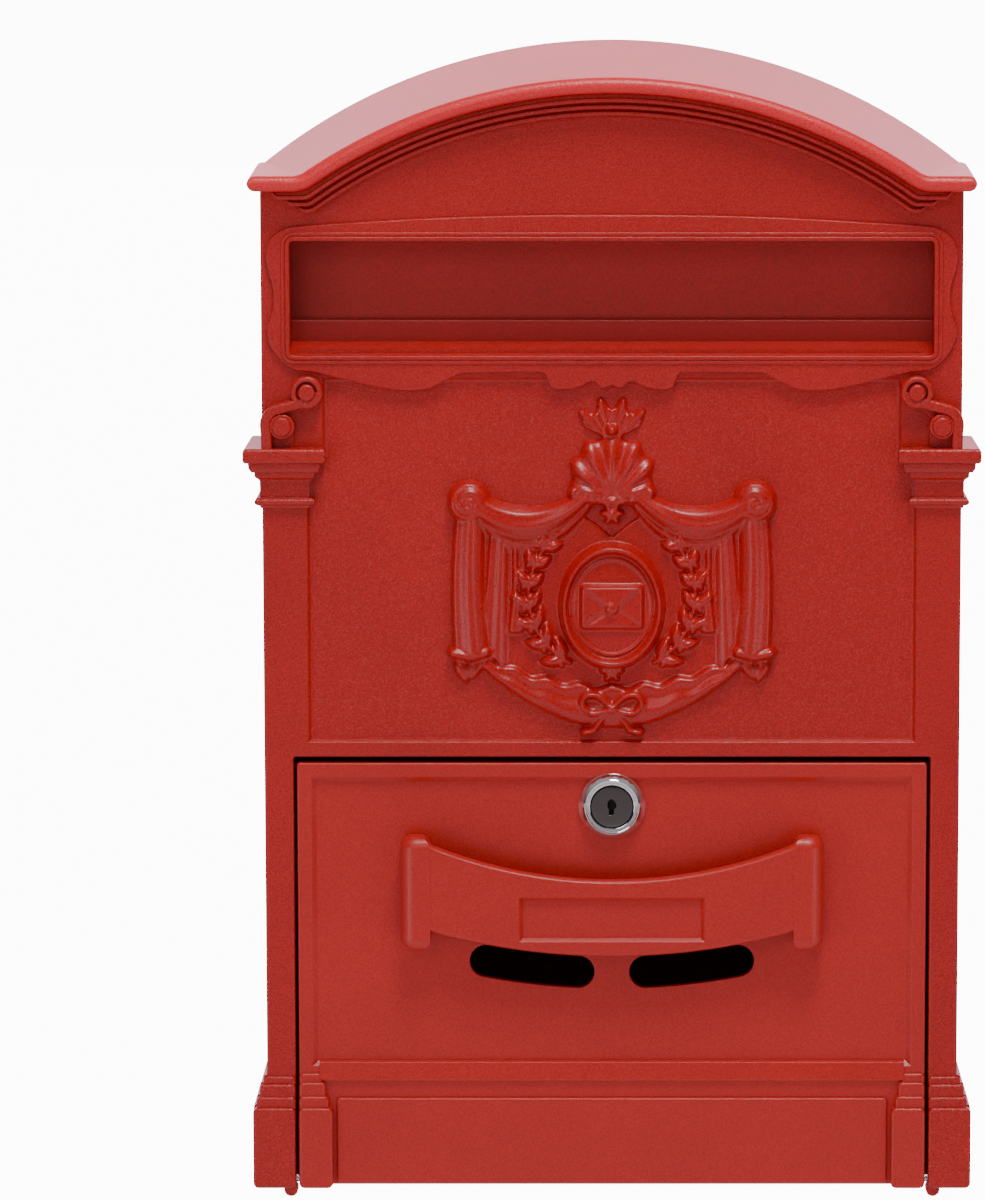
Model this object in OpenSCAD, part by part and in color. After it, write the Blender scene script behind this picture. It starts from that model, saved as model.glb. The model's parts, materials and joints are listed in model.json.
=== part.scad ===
// Wall-hung letter box: a cast facade with a cornice roof, a mail slot with a flap,
// and a drop-down door with a cam lock, on a folded sheet case.
// The front faces -Y and +Z is up. The origin is on the wall, amid the wall holes.

/* [Case] */
// Width of the case, side to side
case_w = 247; // [205:1:300]
// Height from the underside of the base blocks to the underside of the cornice
case_h = 357; // [320:1:430]
// Depth from the wall to the facade
case_d = 80; // [66:1:110]
// Wall of the castings
cast_t = 2.5; // [2:0.1:3.5]
// Thickness of the sheet in the case and the back plate
sheet_t = 1.5; // [1:0.1:2]
// How far the facade's side walls reach back
return_d = 40; // [30:1:50]
// Depth of the recessed fields below the stiles and borders
field_depth = 1.8; // [1:0.1:3]

/* [Roof] */
// Thickness of the cornice band and the ears
ear_t = 5.5; // [4:0.5:8]
// How far the cornice stands out from the facade
nose_out = 10; // [8:0.5:14]
// How far the ears overhang the case sides at the front
ear_out_front = 4; // [3:0.5:8]
// How far the ears overhang the case sides at the wall
ear_out_back = 6.5; // [5:0.5:10]
// Where the arch meets the ears, in from the case side
arch_inset = 14.5; // [10:0.5:25]
// Height of the arch above the ears at the front
front_rise = 34; // [25:1:45]
// Height of the arch above the ears at the wall
back_rise = 44.5; // [36:0.5:60]
// Wall of the arched roof
roof_t = 3; // [2:0.5:4]

/* [Pilasters] */
// Width of the stiles beside the upper field
stile_w = 16; // [12:1:24]
// Height from the cornice down to the top of the capitals
capital_drop = 90.5; // [80:0.5:110]
// Projection of the widest step of the capitals
capital_out = 6.5; // [4:0.5:8]
// Projection of the widest step of the base blocks
base_out = 4.9; // [3:0.1:7]
// Height of the base blocks below their steps
base_h = 29.6; // [20:0.1:40]

/* [Mail slot] */
// Distance from the case side to the slot
slot_side = 10.2; // [8:0.1:20]
// Height of the slot
slot_h = 40.5; // [35:0.5:50]
// Height from the cornice down to the slot
slot_drop = 17.5; // [14:0.5:25]
// Depth of the slot's throat behind the facade
throat_d = 12; // [8:1:16]
// Height of the slot's rear kerb
kerb_h = 5.5; // [4:0.5:8]
// Thickness of the flap's sheet
flap_t = 1; // [0.8:0.1:1.5]
// Diameter of the flap's rod
rod_d = 3; // [2:0.5:4]

/* [Door] */
// Height of the door
door_h = 153.7; // [140:0.1:170]
// Width of the stile beside the door
door_stile = 10.4; // [8:0.1:14]
// Gap at the sides of the door
side_gap = 1.1; // [0.6:0.1:2]
// Gap above the door
top_gap = 2.1; // [1.5:0.1:3]
// Width of the door's raised border
border_w = 5; // [4:0.5:8]
// Height of the door's lower border, which carries the mouldings
foot_h = 43.7; // [40:0.1:50]
// Diameter of the door's hinge pins
pin_d = 3; // [2:0.5:4]
// Height of the hinge pins above the underside
hinge_z = 3.2; // [3:0.1:4]
// How far the hinge pins lie behind the facade's face
hinge_back = -0.5; // [-1:0.1:1]
// Width of the small view slots
view_slot_w = 11.6; // [8:0.2:14]

/* [Handle] */
// Length of the handle over its end posts
handle_l = 150; // [120:1:170]
// Width of each end post
post_w = 12; // [10:0.5:16]
// Height of the end posts
post_h = 40; // [32:1:46]
// Height of the handle's plate at its middle
bow_h = 26.7; // [22:0.1:32]
// Height of the handle's lower edge at its middle, above the underside
bow_z = 85.5; // [80:0.5:95]
// Thickness of the handle's plate
bow_t = 3.5; // [3:0.5:5]

/* [Lock] */
// Height of the lock above the underside
lock_z = 138.2; // [132:0.2:140]
// Diameter of the lock's flange
flange_d = 24; // [20:0.5:28]
// Diameter of the lock's body
barrel_d = 18.4; // [16:0.2:20]
// Diameter of the turning plug
plug_d = 15.4; // [12:0.2:16]
// Length of the cam from the plug's axis
cam_l = 23.5; // [21:0.5:26]

/* [Ornament] */
// Width of the ornament
ornament_w = 113; // [90:1:140]
// Height of the ornament
ornament_h = 101; // [80:1:110]
// Height of the ornament's middle above the underside
ornament_z = 217; // [200:1:240]
// Thickness of the ornament's ground
ornament_t = 3; // [2:0.5:5]

/* [Wall holes] */
// Spacing of the wall holes across
hole_dx = 160; // [120:1:180]
// Spacing of the wall holes up and down
hole_dz = 240; // [180:1:260]
// Diameter of the wall holes
hole_d = 6; // [5:0.5:8]
// Height of the middle of the wall holes above the underside
hole_z = 190; // [170:1:210]

/* [Hidden] */
$fn = 48;

// Clearances
seat = 0.05;     // between fixed faces that meet
run = 0.06;      // radial, between a pin and its bore
free = 0.3;      // between faces that move past each other
slop = 1;        // how far a cutting tool overshoots

// Finishes
paint = [0.62, 0.11, 0.10];
paint_dark = [0.50, 0.09, 0.08];
steel = [0.72, 0.73, 0.75];
chrome = [0.85, 0.86, 0.88];
rubber = [0.10, 0.10, 0.10];

// Depths, from the wall at 0 to the front
half_w = case_w / 2;
face_y = -case_d;
field_y = face_y + field_depth;
rear_y = field_y + cast_t;
return_y = face_y + return_d;
front_y = face_y - nose_out;

// Heights, from the underside of the base blocks at 0
ear_top = case_h + ear_t;
slot_top = case_h - slot_drop;
slot_low = slot_top - slot_h;
capital_top = case_h - capital_drop;
opening_h = door_h + top_gap;
rail_top = opening_h + 5.5;

// Roof arch: one cone about an axis along Y
arch_half = half_w - arch_inset;
front_r = (pow(arch_half, 2) + pow(front_rise, 2)) / (2 * front_rise);
arch_mid = ear_top + front_rise - front_r;
back_r = front_r + back_rise - front_rise;
fillet_r = 9;
ledge_in = arch_half - 6;

// Stepped mouldings below the cornice: [total drop, projection, end inset]
cornice_steps = [[2.8, 7, 5.9], [4.7, 5, 11], [6.9, 3, 15.8]];

// Capitals from the top: [height, share of the widest projection]
capital_steps = [[5.3, 1], [3.4, 0.72], [2.7, 0.4], [6.4, 0.1], [2.6, 0.38]];

// Base blocks above base_h: [height, share of the widest projection]
base_steps = [[3.7, 0.72], [4.4, 0.5], [2.7, 0.24]];

// Case sheet
shell_half = half_w - cast_t - seat;
shell_front = rear_y + seat;
shell_top = case_h - seat;
floor_z = 1;
lip = 12;
case_screw_y = return_y - 8;
case_screw_heights = [60, 150, case_h - 60];
roof_screw_x = half_w - 8;
roof_screw_rows = [return_y - 22, -16];
back_screw_x = shell_half - 7;
back_screw_heights = [25, 110, 210, case_h - 30];

// Mail slot
slot_half = half_w - slot_side;
frame_w = 3;
frame_out = 2;
cartouche_out = 1.2;
throat_y = face_y + throat_d;
throat_t = 2;
sill_rise = 4;
kerb_t = 1.5;
kerb_top = slot_low + sill_rise + kerb_h;
flap_gap = 1.4;
flap_low = kerb_top + flap_gap;
flap_half = slot_half + throat_t - 0.4;
rod_r = rod_d / 2;
knuckle_r = rod_r + run + 1.6;
rod_y = throat_y + 0.5;
rod_z = slot_top + throat_t + knuckle_r + 0.8;
flap_y = rod_y + knuckle_r;
stop_y = flap_y - flap_t - free;
bracket_t = 1.5;
bracket_x = flap_half + 0.6;
rod_half = shell_half - sheet_t - 0.45;

// Door
opening_half = half_w - door_stile;
door_half = opening_half - side_gap;
door_back = rear_y;
hinge_y = face_y + hinge_back;
pin_r = pin_d / 2;
pin_in = 8;
pin_out = 4;
lug_r = 2.5;
lug_drop = 3.3;
lug_x = door_half + free + 0.2 + lug_r;
door_sweep = norm([door_back - hinge_y, hinge_z]);
floor_front = hinge_y + door_sweep + 0.6;
view_r = view_slot_w / 2;

// Handle
handle_top = bow_z + bow_h;
top_sag = 15;
low_sag = 10.5;
post_x = handle_l / 2 - post_w / 2;
top_arc = (pow(post_x, 2) + pow(top_sag, 2)) / (2 * top_sag);
low_arc = (pow(post_x, 2) + pow(low_sag, 2)) / (2 * low_sag);
low_mid = bow_z + low_arc;
post_low = bow_z + 1.8;

// Lock
barrel_r = barrel_d / 2;
plug_r = plug_d / 2;
flange_r = flange_d / 2;
barrel_back = field_y + 10;
flange_front = field_y - 4.3;
cam_t = 1.5;
cam_w = 10;
cam_y = barrel_back + free;
keeper_back = cam_y - free;
keeper_low = opening_h + 1.2;

// Screws: head radius, head height, shank radius
screw = [3, 1.8, 1.5];

// ---- Helpers ----

// Lowers a piece from its own height to the wall-hole origin
module hung() {
    translate([0, 0, -hole_z])
        children();
}

module block(low, high) {
    translate(low)
        cube(high - low);
}

module both_sides() {
    children();
    mirror([1, 0, 0])
        children();
}

// A profile in X and Z, carried from y0 to y1
module prism_y(y0, y1) {
    translate([0, y1, 0])
        rotate([90, 0, 0])
            linear_extrude(height = y1 - y0)
                children();
}

// A profile in Y and Z, carried from x0 to x1
module prism_x(x0, x1) {
    translate([x0, 0, 0])
        rotate([90, 0, 90])
            linear_extrude(height = x1 - x0)
                children();
}

module rod_along_x(x0, x1, y, z, r) {
    translate([x0, y, z])
        rotate([0, 90, 0])
            cylinder(h = x1 - x0, r = r);
}

module rod_along_y(y0, y1, x, z, r) {
    translate([x, y0, z])
        rotate([-90, 0, 0])
            cylinder(h = y1 - y0, r = r);
}

// A pan-head screw along +Y: its seat is at y = 0 and its tip at y = length
module screw_y(length) {
    rod_along_y(-screw[1], 0, 0, 0, screw[0]);
    rod_along_y(-0.01, length, 0, 0, screw[2]);
}

module screw_hole_y(y0, y1, x, z) {
    rod_along_y(y0, y1, x, z, screw[2] + seat);
}

// The same screw along +X and along +Z
module screw_x(length) {
    rotate([0, 0, -90])
        screw_y(length);
}

module screw_z(length) {
    rotate([90, 0, 0])
        screw_y(length);
}

function arc(mid, r, from, to, n = 8) =
    [for (i = [0 : n]) let (a = from + (to - from) * i / n) mid + r * [cos(a), sin(a)]];

// Points on a smooth step from a to b, level at both ends
function ease(a, b, n = 8) =
    [for (i = [1 : n]) let (t = i / n) [a[0] + (b[0] - a[0]) * t,
                                       a[1] + (b[1] - a[1]) * (1 - cos(180 * t)) / 2]];

function reversed(points) = [for (i = [len(points) - 1 : -1 : 0]) points[i]];

function mirrored(points) = [for (p = reversed(points)) [-p[0], p[1]]];

// Half of the cornice line, a distance d inside the outer one: arch, fillet and ear
function cornice_half(d, end) =
    let (r = front_r - d, z = ear_top - d, f = fillet_r + d)
    let (x = sqrt(pow(r + f, 2) - pow(z + f - arch_mid, 2)))
    let (touch = atan2(z + f - arch_mid, x))
    concat(arc([0, arch_mid], r, 90, touch, 24),
           arc([x, z + f], f, 180 + touch, 270, 5),
           [[end, z]]);

function cornice_line(d, end) = concat(mirrored(cornice_half(d, end)), cornice_half(d, end));

// ---- Castings of the front and the roof ----

// A step of a capital or base block, wrapped round the corner of the case
module wrapped_step(inner, out, z0, z1) {
    difference() {
        block([inner, face_y - out, z0], [half_w + out, return_y, z1]);
        block([inner - slop, rear_y, z0 - slop],
              [half_w - cast_t, return_y + slop, z1 + slop]);
    }
}

module capital() {
    for (i = [0 : len(capital_steps) - 1]) {
        top = capital_top - height_above(capital_steps, i);
        out = capital_out * capital_steps[i][1];
        wrapped_step(half_w - stile_w - out, out, top - capital_steps[i][0], top);
    }
}

function height_above(steps, i) = i == 0 ? 0 : steps[i - 1][0] + height_above(steps, i - 1);

module case_base_block() {
    wrapped_step(opening_half, base_out, 0, base_h);
    for (i = [0 : len(base_steps) - 1]) {
        low = base_h + height_above(base_steps, i);
        wrapped_step(opening_half, base_out * base_steps[i][1], low, low + base_steps[i][0]);
    }
}

// The knuckle that carries a hinge pin, with a rounded tab below the base block
module hinge_knuckle() {
    rod_along_x(door_half + free, opening_half + 5, hinge_y, hinge_z, pin_r + 1.6);
    rod_along_y(face_y - 3, rear_y - 1, lug_x, lug_r - lug_drop, lug_r);
}

// Two scrolls and the strap between them, above each capital
module scroll_bracket() {
    upper = [half_w - 16.2, capital_top + 19.5];
    lower = [half_w - 7.7, capital_top + 7];
    y0 = face_y - 6;
    rod_along_y(y0, face_y + 1, upper[0], upper[1], 5);
    rod_along_y(y0, face_y + 1, lower[0], lower[1], 4);
    prism_y(y0 + 1, face_y + 1)
        polygon([upper + [4, 3], lower + [4, 2], lower + [4, -7], lower + [-5, -7],
                 lower + [-3, 1], upper + [-3, -4]]);
}

// Half of the outline of the raised plate around the slot, from the top clockwise
function cartouche_half() =
    let (side = half_w - 2, top = slot_top + 9)
    let (corner = [side - 10, top - 14], foot = [side - 8, slot_low + 3.5])
    let (dip = [half_w - 50, slot_low - 12], rise = [half_w - 71, slot_low - 6.2])
    concat([for (i = [0 : 5]) let (x = corner[0] * i / 5) [x, top - 4 * pow(i / 5, 2)]],
           arc(corner, 10, 80, 0, 6),
           [for (i = [1 : 9]) let (t = i / 10)
               [side - 2.4 * (1 - cos(360 * t)) / 2, corner[1] + (foot[1] - corner[1]) * t]],
           arc(foot, 8, 0, -70, 6),
           ease(foot + [2.7, -7.5], dip, 8),
           ease(dip, rise, 6),
           ease([24, rise[1]], [21, slot_low - 12], 4),
           ease([21, slot_low - 12], [9, slot_low - 9.5], 4),
           [[0, slot_low - 11.5]]);

module slot_surround() {
    prism_y(face_y - cartouche_out, rear_y)
        polygon(concat(mirrored(cartouche_half()), cartouche_half()));
    block([-slot_half - frame_w, face_y - frame_out, slot_low - frame_w],
          [slot_half + frame_w, rear_y, slot_top + frame_w]);
    // throat walls behind the plate
    block([-slot_half - throat_t, rear_y - 1, slot_low - throat_t],
          [slot_half + throat_t, throat_y, slot_top + throat_t]);
    both_sides()
        block([slot_half, throat_y - 1, slot_low], [slot_half + throat_t, stop_y, slot_top]);
}

module slot_cut() {
    block([-slot_half, face_y - 9, slot_low], [slot_half, throat_y + slop, slot_top]);
}

module sill() {
    prism_x(-slot_half - 1, slot_half + 1)
        polygon([[face_y - frame_out, slot_low - 1], [face_y - frame_out, slot_low],
                 [throat_y, slot_low + sill_rise], [throat_y, kerb_top],
                 [throat_y + kerb_t, kerb_top], [throat_y + kerb_t, slot_low - 1]]);
}

module facade_plate() {
    difference() {
        union() {
            // ground plate with its arched top
            block([-half_w, field_y, 0], [half_w, rear_y, shell_top]);
            // stiles, and the rail above the door
            both_sides()
                block([half_w - stile_w, face_y, 0], [half_w, rear_y, slot_low]);
            block([-half_w, face_y, opening_h - 3], [half_w, rear_y, rail_top]);
            block([-half_w, face_y, slot_low - 4], [half_w, rear_y, shell_top]);
            arch_segment(ear_t + seat, face_y, rear_y);
        }
        // door opening
        block([-opening_half, face_y - slop, -slop], [opening_half, rear_y + slop, opening_h]);
    }
}

// The part of a disc, a distance d inside the roof's arch, that stands above the ears
module arch_segment(d, y0, y1) {
    intersection() {
        rod_along_y(y0, y1, 0, arch_mid, front_r - d, $fn = 96);
        block([-half_w, y0 - slop, ear_top - d - 2], [half_w, y1 + slop, ear_top + front_rise]);
    }
}

// Steps below the cornice, which follow the arch and return level under the ears
module cornice_mouldings() {
    for (i = [0 : len(cornice_steps) - 1]) {
        drop = cornice_steps[i][0];
        out = cornice_steps[i][1];
        above = i == 0 ? seat : cornice_steps[i - 1][0];
        difference() {
            arch_segment(ear_t + above, face_y - out, face_y + 1);
            rod_along_y(face_y - out - slop, face_y + 2, 0, arch_mid,
                        front_r - ear_t - drop, $fn = 96);
        }
        both_sides()
            block([arch_half - 3, face_y - out, case_h - drop],
                  [half_w - cornice_steps[i][2], face_y + 1, case_h - above]);
    }
}

module side_returns() {
    both_sides()
        block([half_w - cast_t, face_y, 0], [half_w, return_y, shell_top]);
}

// The rebate that the door closes on
module door_stop() {
    overlap = 4;
    both_sides() {
        block([opening_half, rear_y - 1, 14], [opening_half + 3, rear_y + free + 1.5, opening_h + 4]);
        block([door_half - overlap, rear_y + free, 14],
              [opening_half + 1, rear_y + free + 1.5, opening_h + 4]);
    }
    block([-opening_half, rear_y + free, door_h - 3.2],
          [opening_half, rear_y + free + 1.5, opening_h + 4]);
    block([-opening_half, rear_y - 1, opening_h], [opening_half, rear_y + free + 1.5, opening_h + 4]);
    // rib that the cam turns behind
    block([-14, rear_y - 1, keeper_low], [14, keeper_back, keeper_low + 3]);
}

module front_casting() {
    color(paint) hung() difference() {
        union() {
            difference() {
                union() {
                    facade_plate();
                    cornice_mouldings();
                    slot_surround();
                }
                slot_cut();
            }
            sill();
            side_returns();
            door_stop();
            both_sides() {
                capital();
                scroll_bracket();
                case_base_block();
                hinge_knuckle();
            }
        }
        both_sides() {
            rod_along_x(door_half, opening_half + pin_out, hinge_y, hinge_z, pin_r + run);
            for (z = case_screw_heights)
                rod_along_x(half_w - cast_t - slop, half_w - 0.5, case_screw_y, z,
                            screw[2] + seat);
            for (x = bracket_screw_places)
                screw_hole_y(rear_y - 2, rear_y + slop, x, bracket_screw_z);
        }
        for (z = ornament_screw_heights)
            screw_hole_y(field_y - slop, rear_y + slop, 0, z);
        both_sides()
            rod_along_y(rear_y, rear_y + 3, buffer_x, buffer_z, buffer_stem + seat);
    }
}

// The arched roof is a cone about an axis along Y, wider at the wall
module roof_cone(shrink) {
    slope = (back_r - front_r) / -front_y;
    translate([0, front_y - slop, arch_mid])
        rotate([-90, 0, 0])
            cylinder(h = slop - front_y + slop, r1 = front_r - shrink - slope * slop,
                     r2 = back_r - shrink + slope * slop, $fn = 96);
}

module roof_casting() {
    big = 2 * half_w;
    color(paint) hung() difference() {
        union() {
            difference() {
                intersection() {
                    roof_cone(0);
                    block([-half_w - 20, front_y, ear_top - 1],
                          [half_w + 20, 0, ear_top + back_rise + 5]);
                }
                roof_cone(roof_t);
            }
            // cornice band at the front
            prism_y(front_y, rear_y)
                polygon(concat(cornice_line(0, half_w + ear_out_front),
                               reversed(cornice_line(ear_t, half_w + ear_out_front))));
            // ears, a little wider at the wall
            both_sides()
                translate([0, 0, case_h])
                    linear_extrude(height = ear_t)
                        polygon([[ledge_in, rear_y], [half_w + ear_out_front, rear_y],
                                 [half_w + ear_out_back, 0], [ledge_in, 0]]);
        }
        both_sides()
            for (y = roof_screw_rows)
                translate([roof_screw_x, y, case_h - slop])
                    cylinder(h = 4 + slop, r = screw[2] + seat);
    }
}

// ---- Case, back plate and their screws ----

bracket_screw_places = [flap_half - 14, flap_half - 6];
bracket_screw_z = rod_z + 4.5;
ornament_screw_heights = [ornament_z - 30, ornament_z + 26];
buffer_x = door_half - 2;
buffer_z = door_h - 40;
buffer_stem = 1;

module case_shell() {
    inner = shell_half - sheet_t;
    flange_y = -2 * sheet_t;
    color(paint_dark) hung() difference() {
        union() {
            both_sides() {
                block([inner, shell_front, floor_z], [shell_half, -sheet_t, shell_top]);
                // top flange under the ears, and rear flange against the back plate
                block([shell_half - lip, shell_front, shell_top - sheet_t],
                      [shell_half, -sheet_t, shell_top]);
                block([shell_half - lip, flange_y, floor_z], [shell_half, -sheet_t, shell_top]);
            }
            block([-shell_half, floor_front, floor_z], [shell_half, -sheet_t, floor_z + sheet_t]);
            block([-shell_half, flange_y, floor_z], [shell_half, -sheet_t, floor_z + lip]);
        }
        both_sides() {
            // notch for the hinge knuckle and the lower corner of the door
            block([inner - slop, shell_front - slop, floor_z - slop],
                  [shell_half + slop, floor_front + free, floor_z + 12]);
            for (z = case_screw_heights)
                rod_along_x(inner - slop, shell_half + slop, case_screw_y, z, screw[2] + seat);
            for (y = roof_screw_rows)
                translate([roof_screw_x, y, shell_top - sheet_t - slop])
                    cylinder(h = sheet_t + 2 * slop, r = screw[2] + seat);
            for (z = back_screw_heights)
                screw_hole_y(flange_y - slop, 0, back_screw_x, z);
        }
    }
}

module back_plate() {
    color(paint_dark) hung() difference() {
        union() {
            block([-shell_half, -sheet_t + seat, floor_z], [shell_half, 0, shell_top - seat]);
            intersection() {
                rod_along_y(-sheet_t + seat, 0, 0, arch_mid, back_r - roof_t - free);
                difference() {
                    block([-half_w, -sheet_t, case_h - 10], [half_w, 0, ear_top + back_rise]);
                    both_sides()
                        block([ledge_in - free, -sheet_t - slop, shell_top - seat],
                              [half_w + slop, slop, ear_top + free]);
                }
            }
        }
        for (x = [-1, 1], z = [-1, 1])
            rod_along_y(-sheet_t - slop, slop, x * hole_dx / 2, hole_z + z * hole_dz / 2,
                        hole_d / 2);
        both_sides()
            for (z = back_screw_heights)
                screw_hole_y(-sheet_t - slop, slop, back_screw_x, z);
    }
}

module back_screws() {
    color(steel) hung() both_sides()
        for (z = back_screw_heights)
            translate([back_screw_x, -2 * sheet_t, z])
                screw_y(2 * sheet_t - 0.2);
}

module case_screws() {
    color(steel) hung() both_sides()
        for (z = case_screw_heights)
            translate([shell_half - sheet_t, case_screw_y, z])
                screw_x(sheet_t + cast_t - 0.6);
}

module roof_screws() {
    color(steel) hung() both_sides()
        for (y = roof_screw_rows)
            translate([roof_screw_x, y, shell_top - sheet_t])
                screw_z(sheet_t + 3.8);
}

// ---- Ornament on the upper field ----

// Outline of the ornament's ground: a rounded shield form with scalloped edges
function ornament_outline(n = 72) =
    [for (i = [0 : n - 1])
        let (a = 360 * i / n)
        let (s = 1 - 0.05 * (1 - cos(8 * a)) / 2)
        let (c = cos(a), d = sin(a))
        let (k = pow(pow(abs(c), 3.2) + pow(abs(d), 3.2), -1 / 3.2))
        [s * k * c * ornament_w / 2, s * k * d * ornament_h / 2]];

module relief_ornament() {
    color(paint) hung() difference() {
        union() {
            prism_y(field_y - ornament_t, field_y)
                translate([0, ornament_z])
                    polygon(ornament_outline());
            prism_y(field_y - ornament_t - 1.5, field_y - 1)
                translate([0, ornament_z - 3])
                    scale(0.55)
                        polygon(ornament_outline());
            rod_along_y(field_y - ornament_t - 3, field_y, 0, ornament_z - 8, 17);
            rod_along_y(field_y - ornament_t, field_y, 0, ornament_z + ornament_h / 2 + 4, 11);
        }
        for (z = ornament_screw_heights)
            screw_hole_y(field_y - 2.2, field_y + slop, 0, z);
    }
}

module ornament_screws() {
    color(steel) hung()
        for (z = ornament_screw_heights)
            translate([0, rear_y, z])
                mirror([0, 1, 0])
                    screw_y(cast_t + 2);
}

// ---- Flap of the mail slot ----

module flap() {
    color(paint_dark) hung() difference() {
        union() {
            block([-flap_half, flap_y - flap_t, flap_low], [flap_half, flap_y, rod_z]);
            rod_along_x(-flap_half, flap_half, rod_y, rod_z, knuckle_r);
        }
        rod_along_x(-flap_half - slop, flap_half + slop, rod_y, rod_z, rod_r + run);
    }
}

module flap_rod() {
    color(steel) hung()
        rod_along_x(-rod_half, rod_half, rod_y, rod_z, rod_r);
}

module rod_clips() {
    x0 = bracket_x + bracket_t + seat;
    color(steel) hung() both_sides() difference() {
        rod_along_x(x0, x0 + 0.8, rod_y, rod_z, rod_r + 1.6);
        rod_along_x(x0 - slop, x0 + 2, rod_y, rod_z, rod_r + 0.02);
        block([x0 - slop, rod_y - 0.8, rod_z - 5], [x0 + 2, rod_y + 0.8, rod_z]);
    }
}

// A folded bracket: an ear with the rod's hole, and a foot on the casting's rear face
module flap_bracket() {
    foot_in = bracket_screw_places[0] - 4.5;
    difference() {
        union() {
            block([bracket_x, rear_y + seat, rod_z - 4.5], [bracket_x + bracket_t, rod_y + 4.5, rod_z + 4.5]);
            block([foot_in, rear_y + seat, rod_z - 1.5],
                  [bracket_x + bracket_t, rear_y + seat + bracket_t, rod_z + 9]);
            block([bracket_x, rear_y + seat, rod_z - 4.5],
                  [bracket_x + bracket_t, rear_y + 5, rod_z + 9]);
        }
        rod_along_x(bracket_x - slop, bracket_x + bracket_t + slop, rod_y, rod_z, rod_r + 0.02);
        for (x = bracket_screw_places)
            screw_hole_y(rear_y - slop, rear_y + 4, x, bracket_screw_z);
    }
}

module flap_bracket_right() {
    color(steel) hung()
        flap_bracket();
}

module flap_bracket_left() {
    color(steel) hung()
        mirror([1, 0, 0])
            flap_bracket();
}

module bracket_screws() {
    color(steel) hung() both_sides()
        for (x = bracket_screw_places)
            translate([x, rear_y + seat + bracket_t, bracket_screw_z])
                mirror([0, 1, 0])
                    screw_y(bracket_t + 1.7);
}

// ---- Door ----

// Half of the base block on the door, stepped towards the middle
module door_base_block() {
    inner = door_half - 7;
    block([inner - base_out, face_y - base_out, 0], [door_half, door_back, base_h]);
    for (i = [0 : len(base_steps) - 1]) {
        out = base_out * base_steps[i][1];
        low = base_h + height_above(base_steps, i);
        block([inner - out, face_y - out, low], [door_half, door_back, low + base_steps[i][0]]);
    }
}

// A curved slot that follows the handle's lower edge
module view_slot() {
    mid_r = low_arc + 8;
    from = 12;
    to = 45;
    height = function (x) low_mid - sqrt(pow(mid_r, 2) - pow(x, 2));
    intersection() {
        difference() {
            rod_along_y(field_y - slop, door_back + slop, 0, low_mid, mid_r + view_r, $fn = 96);
            rod_along_y(field_y - 2 * slop, door_back + 2 * slop, 0, low_mid, mid_r - view_r, $fn = 96);
        }
        block([from, field_y - slop, bow_z - 40], [to, door_back + slop, bow_z + 20]);
    }
    for (x = [from, to])
        rod_along_y(field_y - slop, door_back + slop, x, height(x), view_r);
}

module door() {
    color(paint) hung() difference() {
        union() {
            block([-door_half, face_y, 0], [door_half, door_back, door_h]);
            both_sides()
                door_base_block();
            // moulding above the plinth
            block([-door_half + 10, face_y - 1.2, foot_h - 5.8], [door_half - 10, face_y + 1, foot_h - 2.2]);
            // plinth board
            block([-door_half + 10, face_y - 1.8, 0.8], [door_half - 10, face_y + 1, 32]);
        }
        block([-door_half + border_w, face_y - 9, foot_h],
              [door_half - border_w, field_y, door_h - border_w]);
        rod_along_y(field_y - slop, door_back + slop, 0, lock_z, barrel_r + seat);
        rod_along_y(face_y - slop, field_y, 0, lock_z, flange_r + 0.2);
        both_sides() {
            view_slot();
            rod_along_x(door_half - pin_in, door_half + slop, hinge_y, hinge_z, pin_r + seat);
            for (z = handle_screw_heights)
                screw_hole_y(field_y - slop, door_back + slop, post_x, z);
        }
    }
}

handle_screw_heights = [post_low + post_h / 2];

module door_handle() {
    label = [65.6, 15.6, 1];
    color(paint) hung() difference() {
        union() {
            intersection() {
                block([-post_x, front_y, bow_z - 1], [post_x, front_y + bow_t, handle_top + top_sag]);
                rod_along_y(front_y, front_y + bow_t, 0, low_mid, low_arc, $fn = 96);
            }
            both_sides() {
                block([post_x - post_w / 2, front_y, post_low + post_w / 2],
                      [post_x + post_w / 2, field_y - seat, post_low + post_h - post_w / 2]);
                for (z = [post_low + post_w / 2, post_low + post_h - post_w / 2])
                    rod_along_y(front_y, field_y - seat, post_x, z, post_w / 2);
            }
        }
        intersection() {
            rod_along_y(front_y - slop, front_y + bow_t + slop, 0, handle_top + top_arc, top_arc,
                        $fn = 96);
            block([-post_x + post_w / 2, front_y - slop, 0],
                  [post_x - post_w / 2, front_y + bow_t + slop, case_h]);
        }
        block([-label[0] / 2, front_y - slop, bow_z + 6],
              [label[0] / 2, front_y + label[2], bow_z + 6 + label[1]]);
        both_sides()
            for (z = handle_screw_heights)
                screw_hole_y(field_y - 8, field_y + slop, post_x, z);
    }
}

module handle_screws() {
    color(steel) hung() both_sides()
        for (z = handle_screw_heights)
            translate([post_x, door_back, z])
                mirror([0, 1, 0])
                    screw_y(cast_t + 7);
}

module hinge_pin() {
    rod_along_x(door_half - pin_in + seat, opening_half + pin_out - free, hinge_y, hinge_z, pin_r);
}

module hinge_pin_right() {
    color(steel) hung()
        hinge_pin();
}

module hinge_pin_left() {
    color(steel) hung()
        mirror([1, 0, 0])
            hinge_pin();
}

// Rubber buttons in the rebate, which quieten the door
module door_buffers() {
    stop_back = rear_y + free + 1.5;
    color(rubber) hung() both_sides() {
        rod_along_y(rear_y + free + 0.01, stop_back + 1.5, buffer_x, buffer_z, buffer_stem);
        rod_along_y(stop_back + seat, stop_back + 2, buffer_x, buffer_z, 2);
    }
}

// ---- Lock ----

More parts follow.
